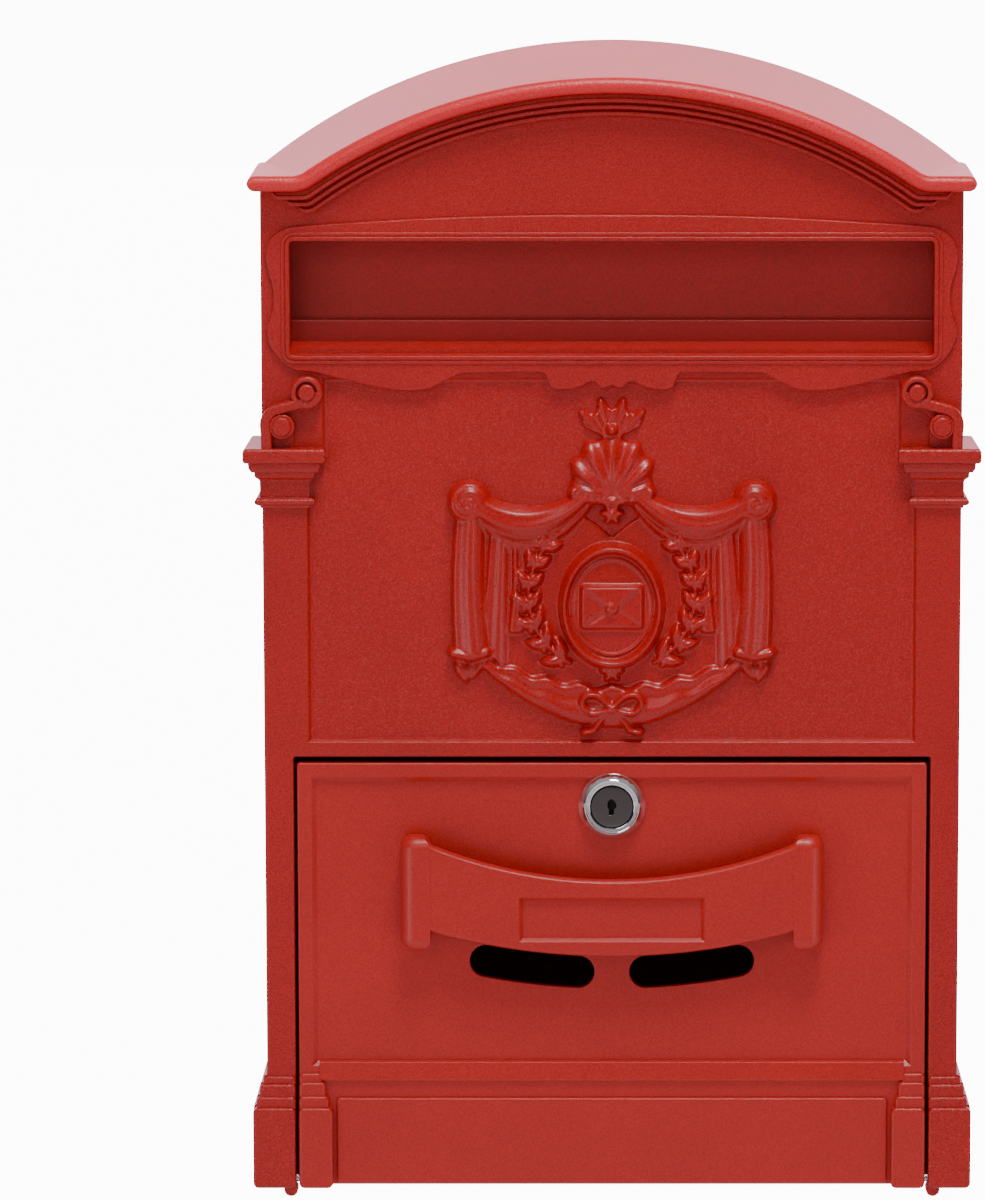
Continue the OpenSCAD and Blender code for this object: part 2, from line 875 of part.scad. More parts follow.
module lock_housing() {
    color(chrome) hung() difference() {
        union() {
            translate([0, field_y - seat, lock_z])
                rotate([90, 0, 0])
                    cylinder(h = field_y - seat - flange_front, r1 = flange_r, r2 = flange_r - 2.5);
            rod_along_y(flange_front + 1, barrel_back, 0, lock_z, barrel_r);
        }
        rod_along_y(flange_front - slop, barrel_back + slop, 0, lock_z, plug_r + run);
    }
}

module lock_nut() {
    color(steel) hung() difference() {
        translate([0, door_back + seat, lock_z])
            rotate([-90, 0, 0])
                cylinder(h = 3.5, r = barrel_r + 2, $fn = 6);
        rod_along_y(door_back - slop, door_back + 5, 0, lock_z, barrel_r + seat);
    }
}

module lock_plug() {
    color(chrome) hung() difference() {
        union() {
            rod_along_y(flange_front + 0.3, barrel_back, 0, lock_z, plug_r);
            // squared tail for the cam
            block([-3, barrel_back - 1, lock_z - 3], [3, cam_y + cam_t, lock_z + 3]);
        }
        block([-0.7, flange_front - slop, lock_z - 4], [0.7, flange_front + 6, lock_z + 4]);
        rod_along_y(barrel_back - 5, cam_y + 5, 0, lock_z, screw[2] + seat);
    }
}

// The cam points aside when the door is unlocked
module lock_cam() {
    color(steel) hung() difference() {
        union() {
            rod_along_y(cam_y, cam_y + cam_t, 0, lock_z, 7);
            block([0, cam_y, lock_z - cam_w / 2], [cam_l - cam_w / 2, cam_y + cam_t, lock_z + cam_w / 2]);
            rod_along_y(cam_y, cam_y + cam_t, cam_l - cam_w / 2, lock_z, cam_w / 2);
        }
        block([-3 - seat, cam_y - slop, lock_z - 3 - seat],
              [3 + seat, cam_y + cam_t + slop, lock_z + 3 + seat]);
    }
}

module cam_washer() {
    y0 = cam_y + cam_t + seat;
    color(steel) hung() difference() {
        rod_along_y(y0, y0 + 0.8, 0, lock_z, 5);
        rod_along_y(y0 - slop, y0 + 2, 0, lock_z, screw[2] + seat);
    }
}

module cam_screw() {
    y0 = cam_y + cam_t + seat + 0.8;
    color(steel) hung()
        translate([0, y0 + seat, lock_z])
            mirror([0, 1, 0])
                screw_y(6);
}

front_casting();
roof_casting();
case_shell();
back_plate();
back_screws();
case_screws();
roof_screws();
relief_ornament();
ornament_screws();
flap();
flap_rod();
rod_clips();
flap_bracket_left();
flap_bracket_right();
bracket_screws();
door();
door_handle();
handle_screws();
hinge_pin_left();
hinge_pin_right();
door_buffers();
lock_housing();
lock_nut();
lock_plug();
lock_cam();
cam_washer();
cam_screw();
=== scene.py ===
# %% [markdown]
# # A wall-hung letter box, finished in Blender
#
# The box is a cast facade under an arched roof, with a mail slot, a relief on the
# upper field and a drop-down door that carries a bowed handle and a lock.
# The moving model arrives as a fixed frame of plain pieces. This lesson swaps the
# castings for ones with rounded edges and full mouldings, and paints everything.

# %% The frame
import json
import math

import bmesh
import bpy
import numpy as np
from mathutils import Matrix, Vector
from mathutils.geometry import tessellate_polygon

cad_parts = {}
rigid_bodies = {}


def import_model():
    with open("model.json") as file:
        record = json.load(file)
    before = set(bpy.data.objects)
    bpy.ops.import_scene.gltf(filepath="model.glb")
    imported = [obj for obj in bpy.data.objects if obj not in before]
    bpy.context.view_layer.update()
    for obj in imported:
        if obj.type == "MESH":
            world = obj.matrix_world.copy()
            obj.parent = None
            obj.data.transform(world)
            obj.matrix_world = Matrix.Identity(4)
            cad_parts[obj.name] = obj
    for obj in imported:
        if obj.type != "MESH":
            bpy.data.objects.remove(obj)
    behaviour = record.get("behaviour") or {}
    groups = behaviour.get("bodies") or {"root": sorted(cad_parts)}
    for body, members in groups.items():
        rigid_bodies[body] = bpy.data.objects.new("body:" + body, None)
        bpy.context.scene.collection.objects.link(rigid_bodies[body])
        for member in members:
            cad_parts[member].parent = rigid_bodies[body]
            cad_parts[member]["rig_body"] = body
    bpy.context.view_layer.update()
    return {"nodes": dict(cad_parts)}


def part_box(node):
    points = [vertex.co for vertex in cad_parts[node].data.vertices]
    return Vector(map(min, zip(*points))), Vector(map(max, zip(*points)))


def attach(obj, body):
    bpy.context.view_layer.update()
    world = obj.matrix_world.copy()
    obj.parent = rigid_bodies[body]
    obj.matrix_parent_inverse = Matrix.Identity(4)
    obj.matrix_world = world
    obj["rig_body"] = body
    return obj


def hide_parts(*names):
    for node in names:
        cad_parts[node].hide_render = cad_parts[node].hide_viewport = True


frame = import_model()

# %% [markdown]
# ## Sizes
#
# A maker reads this box in millimetres, with heights counted from the underside of
# the base blocks. The frame is in metres with its origin amid the wall holes, so one
# pair of numbers, MM and WALL_HOLES, turns the one into the other. Depths are
# negative towards the front, as in the frame. Widths come from the frame's boxes.

# %% Sizes of the castings
MM = 0.001
WALL_HOLES = 190.0


def box_mm(node):
    """The node's box in millimetres, with heights counted from the underside."""
    low, high = (np.array(corner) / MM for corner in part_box(node))
    low[2] += WALL_HOLES
    high[2] += WALL_HOLES
    return low, high


shell_high = box_mm("case_shell")[1]
roof_low = box_mm("roof_casting")[0]

HALF = shell_high[0] + 2.55          # half the width of the case
CASE_H = shell_high[2] + 0.05        # up to the underside of the ears
FACE = -80.0                         # the facade's face
FIELD = -78.2                        # the recessed fields
REAR = -75.7                         # the back of the castings
NOSE = roof_low[1]                   # the front of the cornice
RETURN = -40.0                       # where the castings' side walls end
SILL_Z, LINTEL_Z = 299.0, CASE_H - 17.5
SLOT = HALF - 10.2                   # half the width of the slot
DOOR = HALF - 11.5                   # half the width of the door
JAMB = DOOR + 1.1                    # half the width of its opening
DOOR_H = 153.7
OPENING_H = DOOR_H + 2.1
RAIL_H = OPENING_H + 5.5
STILE = HALF - 16.0                  # inner edge of the stiles by the upper field
print("half width", HALF, "cornice at", NOSE, "slot", SLOT, SILL_Z, LINTEL_Z)

# %% [markdown]
# ## Outlines
#
# Most of a casting is flat work with worked edges, so a piece starts as an outline:
# corners with a radius each, arcs, and smooth lines through a few points. The arc in
# a corner runs between the two points where it touches the sides.

# %% Helpers for outlines
def rounded(corners, steps=7, closed=True):
    """An outline from rows (u, v, radius). Each corner's arc has its centre on the
    corner's bisector, at radius / sin(half angle) from the corner, and sweeps from one
    side's tangent point to the other's."""
    c = np.array(corners, float)
    if not closed:
        c[0, 2] = c[-1, 2] = 0
    p, radius = c[:, :2], c[:, 2:]
    back, on = np.roll(p, 1, 0) - p, np.roll(p, -1, 0) - p
    back /= np.linalg.norm(back, axis=1, keepdims=True)
    on /= np.linalg.norm(on, axis=1, keepdims=True)
    half = np.arccos(np.clip((back * on).sum(1, keepdims=True), -1, 1)) / 2
    middle = back + on
    middle /= np.maximum(np.linalg.norm(middle, axis=1, keepdims=True), 1e-9)
    centre = p + middle * radius / np.maximum(np.sin(half), 1e-9)
    start = p + back * radius / np.tan(half) - centre
    end = p + on * radius / np.tan(half) - centre
    turn = (np.pi - 2 * half)[:, None]
    s = np.linspace(0, 1, steps)[None, :, None]
    scale = np.maximum(np.sin(turn), 1e-9)
    arcs = (np.sin((1 - s) * turn) * start[:, None] + np.sin(s * turn) * end[:, None]) / scale
    points = (centre[:, None] + arcs).reshape(-1, 2)
    return thinned(points, closed)


def thinned(points, closed=True):
    """The same points without those that lie on the one before."""
    gap = np.linalg.norm(points - np.roll(points, 1, 0), axis=1)
    keep = gap > 1e-3
    if not closed:
        keep[0] = True
    return points[keep]


def arc(centre, radius, start, end, steps=24):
    """Points at centre + radius * (cos, sin), with the angle in degrees from start to end.
    The radius may be a pair, for a spiral."""
    angle = np.radians(np.linspace(start, end, steps))
    r = np.linspace(*radius, steps) if np.ndim(radius) else radius
    return np.stack([centre[0] + r * np.cos(angle), centre[1] + r * np.sin(angle)], 1)


def arc_radius(half, rise):
    """Radius of the arc over a chord: (half chord squared + rise squared) / (2 * rise)."""
    return (half**2 + rise**2) / (2 * rise)


def smooth_line(points, steps=10):
    """A curve through all the points: between two of them, the cubic whose slope at each
    is half the way from its neighbour before to its neighbour after."""
    p = np.array(points, float)
    before = np.vstack([2 * p[0] - p[1], p[:-1]])
    after = np.vstack([p[1:], 2 * p[-1] - p[-2]])
    slope = (after - before) / 2
    t = np.linspace(0, 1, steps, endpoint=False)[None, :, None]
    a, b = p[:-1, None], p[1:, None]
    ma, mb = slope[:-1, None], slope[1:, None]
    curve = ((2 * t**3 - 3 * t**2 + 1) * a + (t**3 - 2 * t**2 + t) * ma
             + (3 * t**2 - 2 * t**3) * b + (t**3 - t**2) * mb)
    return np.vstack([curve.reshape(-1, 2), p[-1:]])


def mirrored_line(right):
    """A line that starts on the middle plane, joined to its mirror image in X."""
    left = right[::-1] * [-1, 1]
    keep = left[np.abs(left[:, 0]) > 1e-6]
    return np.vstack([right, keep])


def rectangle(x0, x1, z0, z1, radius=0.0, steps=5):
    """Four corners, anticlockwise, all with the same radius."""
    corners = [(x0, z0), (x1, z0), (x1, z1), (x0, z1)]
    return rounded([(x, z, radius) for x, z in corners], steps)


def circle(centre, radius, steps=48):
    """Points at equal angles, anticlockwise, without the repeated last one."""
    return arc(centre, radius, 0, 360 * (steps - 1) / steps, steps)


print("a rounded square has", len(rectangle(0, 1, 0, 1, 0.2)), "points")

# %% [markdown]
# ## From outlines to closed solids
#
# Two ways of making cover nearly every piece. A plate is an outline carried up
# through rings, each set in by some amount at some level, and closed with flat caps:
# rounded edges and bevels are only more rings, and holes are outlines that run
# clockwise. A moulding is a flat profile carried along a line, turned at each point
# by the mitre direction, as a moulding is cut at a corner.

# %% Helpers for solids
def mitres(line, closed):
    """At each point the sum of the two neighbouring unit normals, over one plus their
    product: moving along it keeps the same distance from both sides. On an
    anticlockwise outline it points out."""
    step = np.roll(line, -1, 0) - line
    if not closed:
        step[-1] = step[-2]
    step /= np.linalg.norm(step, axis=1, keepdims=True)
    normal = np.stack([step[:, 1], -step[:, 0]], 1)
    before = np.roll(normal, 1, 0)
    if not closed:
        before[0] = normal[0]
    return (normal + before) / np.maximum(1 + (normal * before).sum(1, keepdims=True), 0.2)


def placed(flat, level, plane):
    """Flat coordinates and a level across them as points: front is X, Z at depth Y,
    plan is X, Y at height Z, side is Y, Z at X."""
    u, v = flat[..., 0], flat[..., 1]
    w = np.broadcast_to(level, u.shape)
    order = {"front": (u, w, v), "plan": (u, v, w), "side": (w, u, v)}[plane]
    return np.stack(order, -1)


def net(rows, columns, wrap_rows, wrap_columns):
    """Quads between the points of a grid, row by row, joined end to end where it wraps."""
    r = np.arange(rows if wrap_rows else rows - 1)[:, None]
    c = np.arange(columns if wrap_columns else columns - 1)[None, :]
    up, across = (r + 1) % rows, (c + 1) % columns
    corners = [r * columns + c, r * columns + across, up * columns + across, up * columns + c]
    return np.stack(corners, -1).reshape(-1, 4).tolist()


def volume(points, faces):
    """A sixth of the sum of a . (b x c) over each face's fan of triangles: it is above
    nothing where the faces look out."""
    total = 0.0
    for size in {len(f) for f in faces}:
        p = points[np.array([f for f in faces if len(f) == size])]
        for k in range(1, size - 1):
            total += np.einsum("ij,ij->", p[:, 0], np.cross(p[:, k], p[:, k + 1]))
    return total / 6


def outward(shape):
    """The shape with every face turned round if its volume comes out negative."""
    points, faces = shape
    if volume(points, faces) < 0:
        faces = [f[::-1] for f in faces]
    return points, faces


def together(*shapes):
    """Several shapes as one list of points and one of faces."""
    points, faces, first = [], [], 0
    for p, f in shapes:
        points.append(p)
        faces += [[i + first for i in face] for face in f]
        first += len(p)
    return np.vstack(points), faces


def twin(shape):
    """A shape and its mirror image in X."""
    points, faces = shape
    return together(shape, (points * [-1, 1, 1], [f[::-1] for f in faces]))


def capped(flats, members, look_out):
    """Triangles over an outline and its holes, turned by the sign of their summed area."""
    if len(flats) == 1:
        ids = members[0].tolist()
        return [ids if look_out else ids[::-1]]
    flat, ids = np.vstack(flats), np.concatenate(members)
    loops = [[Vector((u, v, 0)) for u, v in loop] for loop in flats]
    tris = np.array(tessellate_polygon(loops))
    a, b, c = flat[tris[:, 0]], flat[tris[:, 1]], flat[tris[:, 2]]
    if (np.cross(b - a, c - a).sum() > 0) != look_out:
        tris = tris[:, ::-1]
    return ids[tris].tolist()


def plate(*loops, plane="front"):
    """Each loop is an outline and its rings, (inset, level) from the first cap to the last.
    A ring's points are outline - inset * mitre. Outer outlines run anticlockwise and
    holes clockwise. Levels run towards the front, up, or to the right."""
    points, faces, ends, count = [], [], ([], [], [], []), 0
    for line, rings in loops:
        rings = np.array(rings, float)
        grid = line[None] - mitres(line, True)[None] * rings[:, :1, None]
        points.append(placed(grid, rings[:, 1:], plane).reshape(-1, 3))
        rows, columns = len(rings), len(line)
        faces += [[i + count for i in f] for f in net(rows, columns, False, True)]
        ids = np.arange(columns) + count
        for store, value in zip(ends, (grid[0], ids, grid[-1], ids + (rows - 1) * columns)):
            store.append(value)
        count += rows * columns
    faces += capped(ends[0], ends[1], False) + capped(ends[2], ends[3], True)
    return outward((np.vstack(points), faces))


def eased(back, front, reach=0.8, depth=None, steps=5):
    """Rings for a flat piece with a quarter-round front edge: inset = reach * (1 - cos t),
    level = front plus what is left of depth * (1 - sin t)."""
    side = math.copysign(depth or reach, back - front)
    t = np.linspace(0, math.pi / 2, steps)
    edge = np.stack([reach * (1 - np.cos(t)), front + side * (1 - np.sin(t))], 1)
    return np.vstack([[(0, back)], edge])


def moulding(line, profile, closed=False, plane="front"):
    """A closed profile of (out, level) carried along a line: line + out * mitre, at level."""
    out, level = profile[None, :, :1], profile[None, :, 1]
    grid = line[:, None] + mitres(line, closed)[:, None] * out
    points = placed(grid, level, plane).reshape(-1, 3)
    rows, columns = len(line), len(profile)
    faces = net(rows, columns, closed, True)
    if not closed:
        faces += [list(range(columns)), list(range((rows - 1) * columns, rows * columns))[::-1]]
    return outward((points, faces))


def lofted(lines, wrap=False):
    """Lines with as many points each, joined side by side into a closed skin: the last
    joins the first, and the ends are closed or, with wrap, joined to each other."""
    grid = np.stack(lines, 1)
    rows, columns = grid.shape[:2]
    faces = net(rows, columns, wrap, True)
    if not wrap:
        faces += [list(range(columns)), list(range((rows - 1) * columns, rows * columns))[::-1]]
    return outward((grid.reshape(-1, 3), faces))


def slab(low, high, radius=0.0):
    """A block with its upright edges rounded in plan."""
    line = rectangle(low[0], high[0], low[1], high[1], radius)
    return plate((line, [(0, low[2]), (0, high[2])]), plane="plan")


def flats_stay_flat(piece):
    """Weights each corner's normal by the area of its faces, so that a rounded edge
    doesn't bend the light on the large flat beside it."""
    mod = piece.modifiers.new("Flats stay flat", "WEIGHTED_NORMAL")
    mod.mode, mod.weight, mod.keep_sharp = "FACE_AREA", 50, True


def made(name, shape, body, finish, stands_for=(), crease=32):
    """Puts a shape, in the maker's millimetres, into a mesh in the frame's metres. Faces
    that meet at less than the crease angle are shaded as one."""
    points, faces = shape
    metres = (points - [0, 0, WALL_HOLES]) * MM
    mesh = bpy.data.meshes.new(name)
    mesh.from_pydata(metres.tolist(), [], faces)
    mesh.shade_smooth()
    mesh.set_sharp_from_angle(angle=math.radians(crease))
    mesh.materials.append(finish)
    piece = bpy.data.objects.new(name, mesh)
    bpy.context.scene.collection.objects.link(piece)
    flats_stay_flat(piece)
    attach(piece, body)
    if stands_for:
        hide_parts(*stands_for)
    edges = np.zeros(len(mesh.edges), int)
    np.add.at(edges, np.array([loop.edge_index for loop in mesh.loops]), 1)
    print(f"{name}: {len(mesh.polygons)} faces, {volume(points, faces) / 1000:.2f} cm3,"
          f" {int((edges != 2).sum())} open edges")
    return piece


# %% [markdown]
# ## Paint
#
# The real box is powder coated: a satin skin with a fine grain, rather like leather on
# the castings and smoother on the door. The grain is a shader node group, built once
# and given its own numbers in each paint. It puts out a colour, a roughness and a
# height, which the paint's own shader turns into looks.

# %% The powder coat group
def link_all(tree, pairs):
    """Links (output, input) pairs."""
    for a, b in pairs:
        tree.links.new(a, b)


def node_in(tree, kind, at, values=(), **settings):
    """A node of a kind at a place, with its settings and the values of its inputs."""
    n = tree.nodes.new(kind)
    n.location = at
    for key, value in settings.items():
        setattr(n, key, value)
    for key, value in dict(values).items():
        n.inputs[key].default_value = value
    return n


def value_range(tree, at, source, low, high, to_low, to_high):
    """A Map Range node from low..high to to_low..to_high."""
    n = node_in(tree, "ShaderNodeMapRange", at, {1: low, 2: high, 3: to_low, 4: to_high})
    tree.links.new(source, n.inputs[0])
    return n.outputs[0]


def powder_coat():
    """Cells under a millimetre across, broken up by noise, with slow drifts of colour.
    Height is the cells plus the noise, colour darkens in the pits and pales on the
    highest grains, and roughness follows both."""
    g = bpy.data.node_groups.new("Powder coat", "ShaderNodeTree")
    face = g.interface
    face.new_socket("Paint", in_out="INPUT", socket_type="NodeSocketColor")
    for name, value in (("Grain per metre", 620.0), ("Grain strength", 1.0),
                        ("Roughness", 0.4), ("Drift", 0.08)):
        socket = face.new_socket(name, in_out="INPUT", socket_type="NodeSocketFloat")
        socket.default_value = value
    for name, kind in (("Color", "Color"), ("Roughness", "Float"), ("Height", "Float")):
        face.new_socket(name, in_out="OUTPUT", socket_type="NodeSocket" + kind)
    come = node_in(g, "NodeGroupInput", (-1200, 0))
    go = node_in(g, "NodeGroupOutput", (700, 0))
    where = node_in(g, "ShaderNodeTexCoord", (-1200, 300)).outputs["Object"]
    warp = node_in(g, "ShaderNodeTexNoise", (-1000, 300), {"Scale": 300})
    bend = node_in(g, "ShaderNodeMixRGB", (-800, 300), {0: 0.0012}, blend_type="LINEAR_LIGHT")
    cells = node_in(g, "ShaderNodeTexVoronoi", (-600, 300), {"Smoothness": 0.6},
                    feature="SMOOTH_F1")
    fine = node_in(g, "ShaderNodeTexNoise", (-600, 0), {"Scale": 1900, "Detail": 3})
    slow = node_in(g, "ShaderNodeTexNoise", (-600, -300), {"Scale": 22, "Detail": 4})
    lumps = node_in(g, "ShaderNodeMath", (-380, 200), {1: 0.45}, operation="MULTIPLY_ADD")
    height = node_in(g, "ShaderNodeMath", (-180, 200), operation="MULTIPLY")
    link_all(g, [
        (where, warp.inputs["Vector"]), (where, bend.inputs[1]),
        (warp.outputs["Color"], bend.inputs[2]), (bend.outputs[0], cells.inputs["Vector"]),
        (come.outputs["Grain per metre"], cells.inputs["Scale"]),
        (where, fine.inputs["Vector"]), (where, slow.inputs["Vector"]),
        (fine.outputs["Fac"], lumps.inputs[0]), (cells.outputs["Distance"], lumps.inputs[2]),
        (lumps.outputs[0], height.inputs[0]), (come.outputs["Grain strength"], height.inputs[1]),
        (height.outputs[0], go.inputs["Height"]),
    ])
    pits = value_range(g, (0, 200), lumps.outputs[0], 0.25, 0.85, 0.80, 1.16)
    drift = value_range(g, (-380, -300), slow.outputs["Fac"], 0.3, 0.7, -1, 1)
    drifted = node_in(g, "ShaderNodeMath", (-180, -300), operation="MULTIPLY_ADD")
    tint = node_in(g, "ShaderNodeHueSaturation", (400, 100))
    peaks = value_range(g, (0, 500), fine.outputs["Fac"], 0.52, 0.78, 0, 0.15)
    speck = node_in(g, "ShaderNodeMath", (180, 500), operation="MULTIPLY")
    paler = node_in(g, "ShaderNodeMixRGB", (560, 300), {2: (0.80, 0.28, 0.24, 1)})
    rough = node_in(g, "ShaderNodeMath", (400, -200), {1: 1}, operation="MULTIPLY_ADD")
    uneven = value_range(g, (0, -200), lumps.outputs[0], 0.2, 0.9, -0.05, 0.06)
    link_all(g, [
        (drift, drifted.inputs[0]), (come.outputs["Drift"], drifted.inputs[1]),
        (pits, drifted.inputs[2]), (drifted.outputs[0], tint.inputs["Value"]),
        (come.outputs["Paint"], tint.inputs["Color"]), (tint.outputs[0], paler.inputs[1]),
        (peaks, speck.inputs[0]), (come.outputs["Grain strength"], speck.inputs[1]),
        (speck.outputs[0], paler.inputs[0]), (paler.outputs[0], go.inputs["Color"]),
        (uneven, rough.inputs[0]), (come.outputs["Roughness"], rough.inputs[2]),
        (rough.outputs[0], go.inputs["Roughness"]),
    ])
    return g


coat_group = powder_coat()
print("group made:", coat_group.name)

# %% [markdown]
# ## Finishes
#
# The paints share the group: the sandy one of the castings, the paler one of the roof,
# which is painted top light, the smoother one of the door, the thin one of the folded
# sheet, the rubbed one of the relief and a darker one in the throat of the slot, which is
# painted shade. Metals and rubber are mottled by noise: chrome is nearly a mirror, with
# fine scratches in its roughness.

# %% The paints and metals
def fresh(name):
    """A new material, its node tree and its shader."""
    m = bpy.data.materials.new(name)
    m.use_nodes = True
    return m, m.node_tree, m.node_tree.nodes["Principled BSDF"]


def mottled(tree, shader, noise, dark, light, low, high):
    """Noise picks a colour between dark and light, and a roughness between low and high."""
    tone = node_in(tree, "ShaderNodeMixRGB", (-200, 150), {1: dark + (1,), 2: light + (1,)})
    rough = value_range(tree, (-250, -100), noise.outputs["Fac"], 0.3, 0.7, low, high)
    link_all(tree, [(noise.outputs["Fac"], tone.inputs[0]),
                    (tone.outputs[0], shader.inputs["Base Color"]),
                    (rough, shader.inputs["Roughness"])])


def paint(name, colour, grain, strength, roughness, drift=0.06, bump=0.00012):
    """A Principled shader fed by the powder coat group."""
    m, t, shader = fresh(name)
    coat = node_in(t, "ShaderNodeGroup", (-500, 0), node_tree=coat_group)
    values = (colour + (1,), grain, strength, roughness, drift)
    for socket, value in zip(coat.inputs, values):
        socket.default_value = value
    lift = node_in(t, "ShaderNodeBump", (-250, -200), {"Distance": bump})
    link_all(t, [
        (coat.outputs["Color"], shader.inputs["Base Color"]),
        (coat.outputs["Roughness"], shader.inputs["Roughness"]),
        (coat.outputs["Height"], lift.inputs["Height"]),
        (lift.outputs[0], shader.inputs["Normal"]),
    ])
    m.diffuse_color = colour + (1,)
    return m


def metal(name, colour, roughness, scratch=0.10, lines=400):
    """Metal whose roughness wavers with stretched noise, as fine polishing marks."""
    m, t, shader = fresh(name)
    shader.inputs["Metallic"].default_value = 1
    where = node_in(t, "ShaderNodeTexCoord", (-900, 0))
    turn = node_in(t, "ShaderNodeMapping", (-700, 0), {"Scale": (1, 1, 9)})
    marks = node_in(t, "ShaderNodeTexNoise", (-500, 0), {"Scale": lines, "Detail": 5})
    link_all(t, [(where.outputs["Object"], turn.inputs["Vector"]),
                 (turn.outputs[0], marks.inputs["Vector"])])
    mottled(t, shader, marks, tuple(0.82 * c for c in colour), colour,
            max(roughness - scratch / 2, 0.02), roughness + scratch / 2)
    m.diffuse_color = colour + (1,)
    return m


def dark_stuff(name, colour, roughness):
    """A dark, matt stuff with a little cloudiness."""
    m, t, shader = fresh(name)
    where = node_in(t, "ShaderNodeTexCoord", (-800, 0))
    cloud = node_in(t, "ShaderNodeTexNoise", (-600, 0), {"Scale": 700})
    t.links.new(where.outputs["Object"], cloud.inputs["Vector"])
    mottled(t, shader, cloud, tuple(0.7 * c for c in colour), tuple(1.4 * c for c in colour),
            roughness - 0.08, roughness + 0.08)
    return m


RED = (0.41, 0.005, 0.004)
DOOR_RED = (0.47, 0.014, 0.011)
cast_paint = paint("Cast paint", RED, 1350, 1.0, 0.36)
# The roof's paler red is painted light: it stands in for the light that falls on the roof's top.
painted_light_roof_paint = paint("Roof paint with painted light", (0.70, 0.018, 0.024), 1500, 0.7, 0.34)
door_paint = paint("Door paint", DOOR_RED, 1700, 0.30, 0.35, 0.05)
sheet_paint = paint("Sheet paint", (0.38, 0.008, 0.006), 1100, 0.5, 0.45)
relief_paint = paint("Relief paint", RED, 1350, 0.45, 0.29)
# The throat paint is a deeper red than the castings': painted shade for the dim inside of the slot.
shade_paint = paint("Throat painted shade", (0.30, 0.003, 0.002), 1350, 0.4, 0.40)
chrome = metal("Chrome", (0.90, 0.91, 0.93), 0.06, 0.06)
dark_chrome = metal("Dark chrome", (0.15, 0.15, 0.145), 0.16, 0.10)
nickel = metal("Nickel", (0.66, 0.64, 0.60), 0.26, 0.12)
zinc = metal("Zinc", (0.60, 0.62, 0.66), 0.36, 0.18, 250)
rubber = dark_stuff("Rubber", (0.02, 0.02, 0.022), 0.75)
# The keyway's stuff is near black: painted shade for the bottom of the key slot.
shadow_hole = dark_stuff("Painted keyway shade", (0.012, 0.011, 0.011), 0.6)
print("finishes:", [m.name for m in bpy.data.materials])

# %% [markdown]
# ## The facade
#
# The facade is one aluminium casting: a flat face with a mail slot, a recessed upper
# field and an opening for the door. It is a plate with two holes and a stepped
# outline. The field is a second plate behind the first hole, and the side walls that
# reach back over the sheet case stand behind the edge of the face.

# %% The face, the field and the side walls
def cast(name, shape, *stands_for):
    """A painted casting on the case."""
    return made(name, shape, "case", cast_paint, stands_for)


ARCH_HALF, FRONT_RISE = HALF - 14.5, 34.0
EAR_T = 5.5
EAR_TOP = CASE_H + EAR_T
FRONT_R = arc_radius(ARCH_HALF, FRONT_RISE)
ARCH_MID = EAR_TOP + FRONT_RISE - FRONT_R
BACK_R = FRONT_R + 10.5

hidden_top = arc((0, ARCH_MID), FRONT_R - 3.6, 53.5, 126.5, 61)
face_line = np.vstack([
    rounded([(JAMB, 0, 0), (HALF, 0, 0), (HALF, CASE_H + 1, 0)], closed=False),
    hidden_top,
    rounded([(-HALF, CASE_H + 1, 0), (-HALF, 0, 0), (-JAMB, 0, 0),
             (-JAMB, OPENING_H, 0.8), (JAMB, OPENING_H, 0.8),
             (JAMB, 0, 0)], closed=False)[:-1],
])
SHOULDER = STILE - 5.6
field_hole = np.array([(-STILE, RAIL_H), (STILE, RAIL_H), (STILE, 262), (SHOULDER, 264),
                       (SHOULDER, 291), (-SHOULDER, 291), (-SHOULDER, 264), (-STILE, 262)])[::-1]
slot_line = rectangle(-SLOT, SLOT, SILL_Z, LINTEL_Z, 0.8)
slot_hole = slot_line[::-1]
bevel = [(-1.5, REAR), (-1.5, FIELD - 0.1), (-0.7, FIELD - 0.35), (-0.1, FACE + 0.35),
         (0.3, FACE)]
face = plate((face_line, eased(REAR, FACE, 1.0)), (field_hole, bevel),
             (slot_hole, [(0, REAR), (0, FACE)]))
cast("facade_face", face, "front_casting")

field = slab((-STILE - 3, FIELD, RAIL_H - 3), (STILE + 3, REAR + 0.02, SILL_Z + 2))
cast("upper_field", field)

WALL_T = 2.5
walls = twin(slab((HALF - WALL_T, REAR, 0), (HALF, RETURN, CASE_H), 0.4))
cast("side_walls", walls)

# %% [markdown]
# ## Inside the front
#
# Behind the face the slot is a short throat with a sill that climbs to a kerb, so that
# rain stays out. The opening for the door has a stop flange at its top, which the cam
# of the lock catches. These are seen when the door hangs open.

# %% The throat, the sill and the stop
THROAT = FACE + 12.0
tunnel = np.array([(0, REAR), (2.0, REAR), (2.0, THROAT), (0, THROAT)])
throat = moulding(slot_line, tunnel, closed=True)
SILL_LOW, KERB_Z = SILL_Z - 1.6, SILL_Z + 11.6
sill_side = rounded([(FACE + 0.4, SILL_LOW, 0), (THROAT + 0.2, SILL_LOW, 0),
                     (THROAT + 0.2, SILL_Z + 4, 0), (FACE + 0.4, SILL_Z + 0.1, 0)])
kerb_side = rounded([(THROAT, SILL_LOW, 0), (THROAT + 1.5, SILL_LOW, 0),
                     (THROAT + 1.5, KERB_Z, 0.7), (THROAT, KERB_Z, 0.7)])
across = [(0, -SLOT), (0, SLOT)]
cast("slot_sill", plate((sill_side, across), plane="side"))
kerb = plate((kerb_side, across), plane="side")
# The throat and the kerb take the deeper red: painted shade, where little light reaches inside the
# slot.
made("slot_throat", together(throat, kerb), "case", shade_paint)

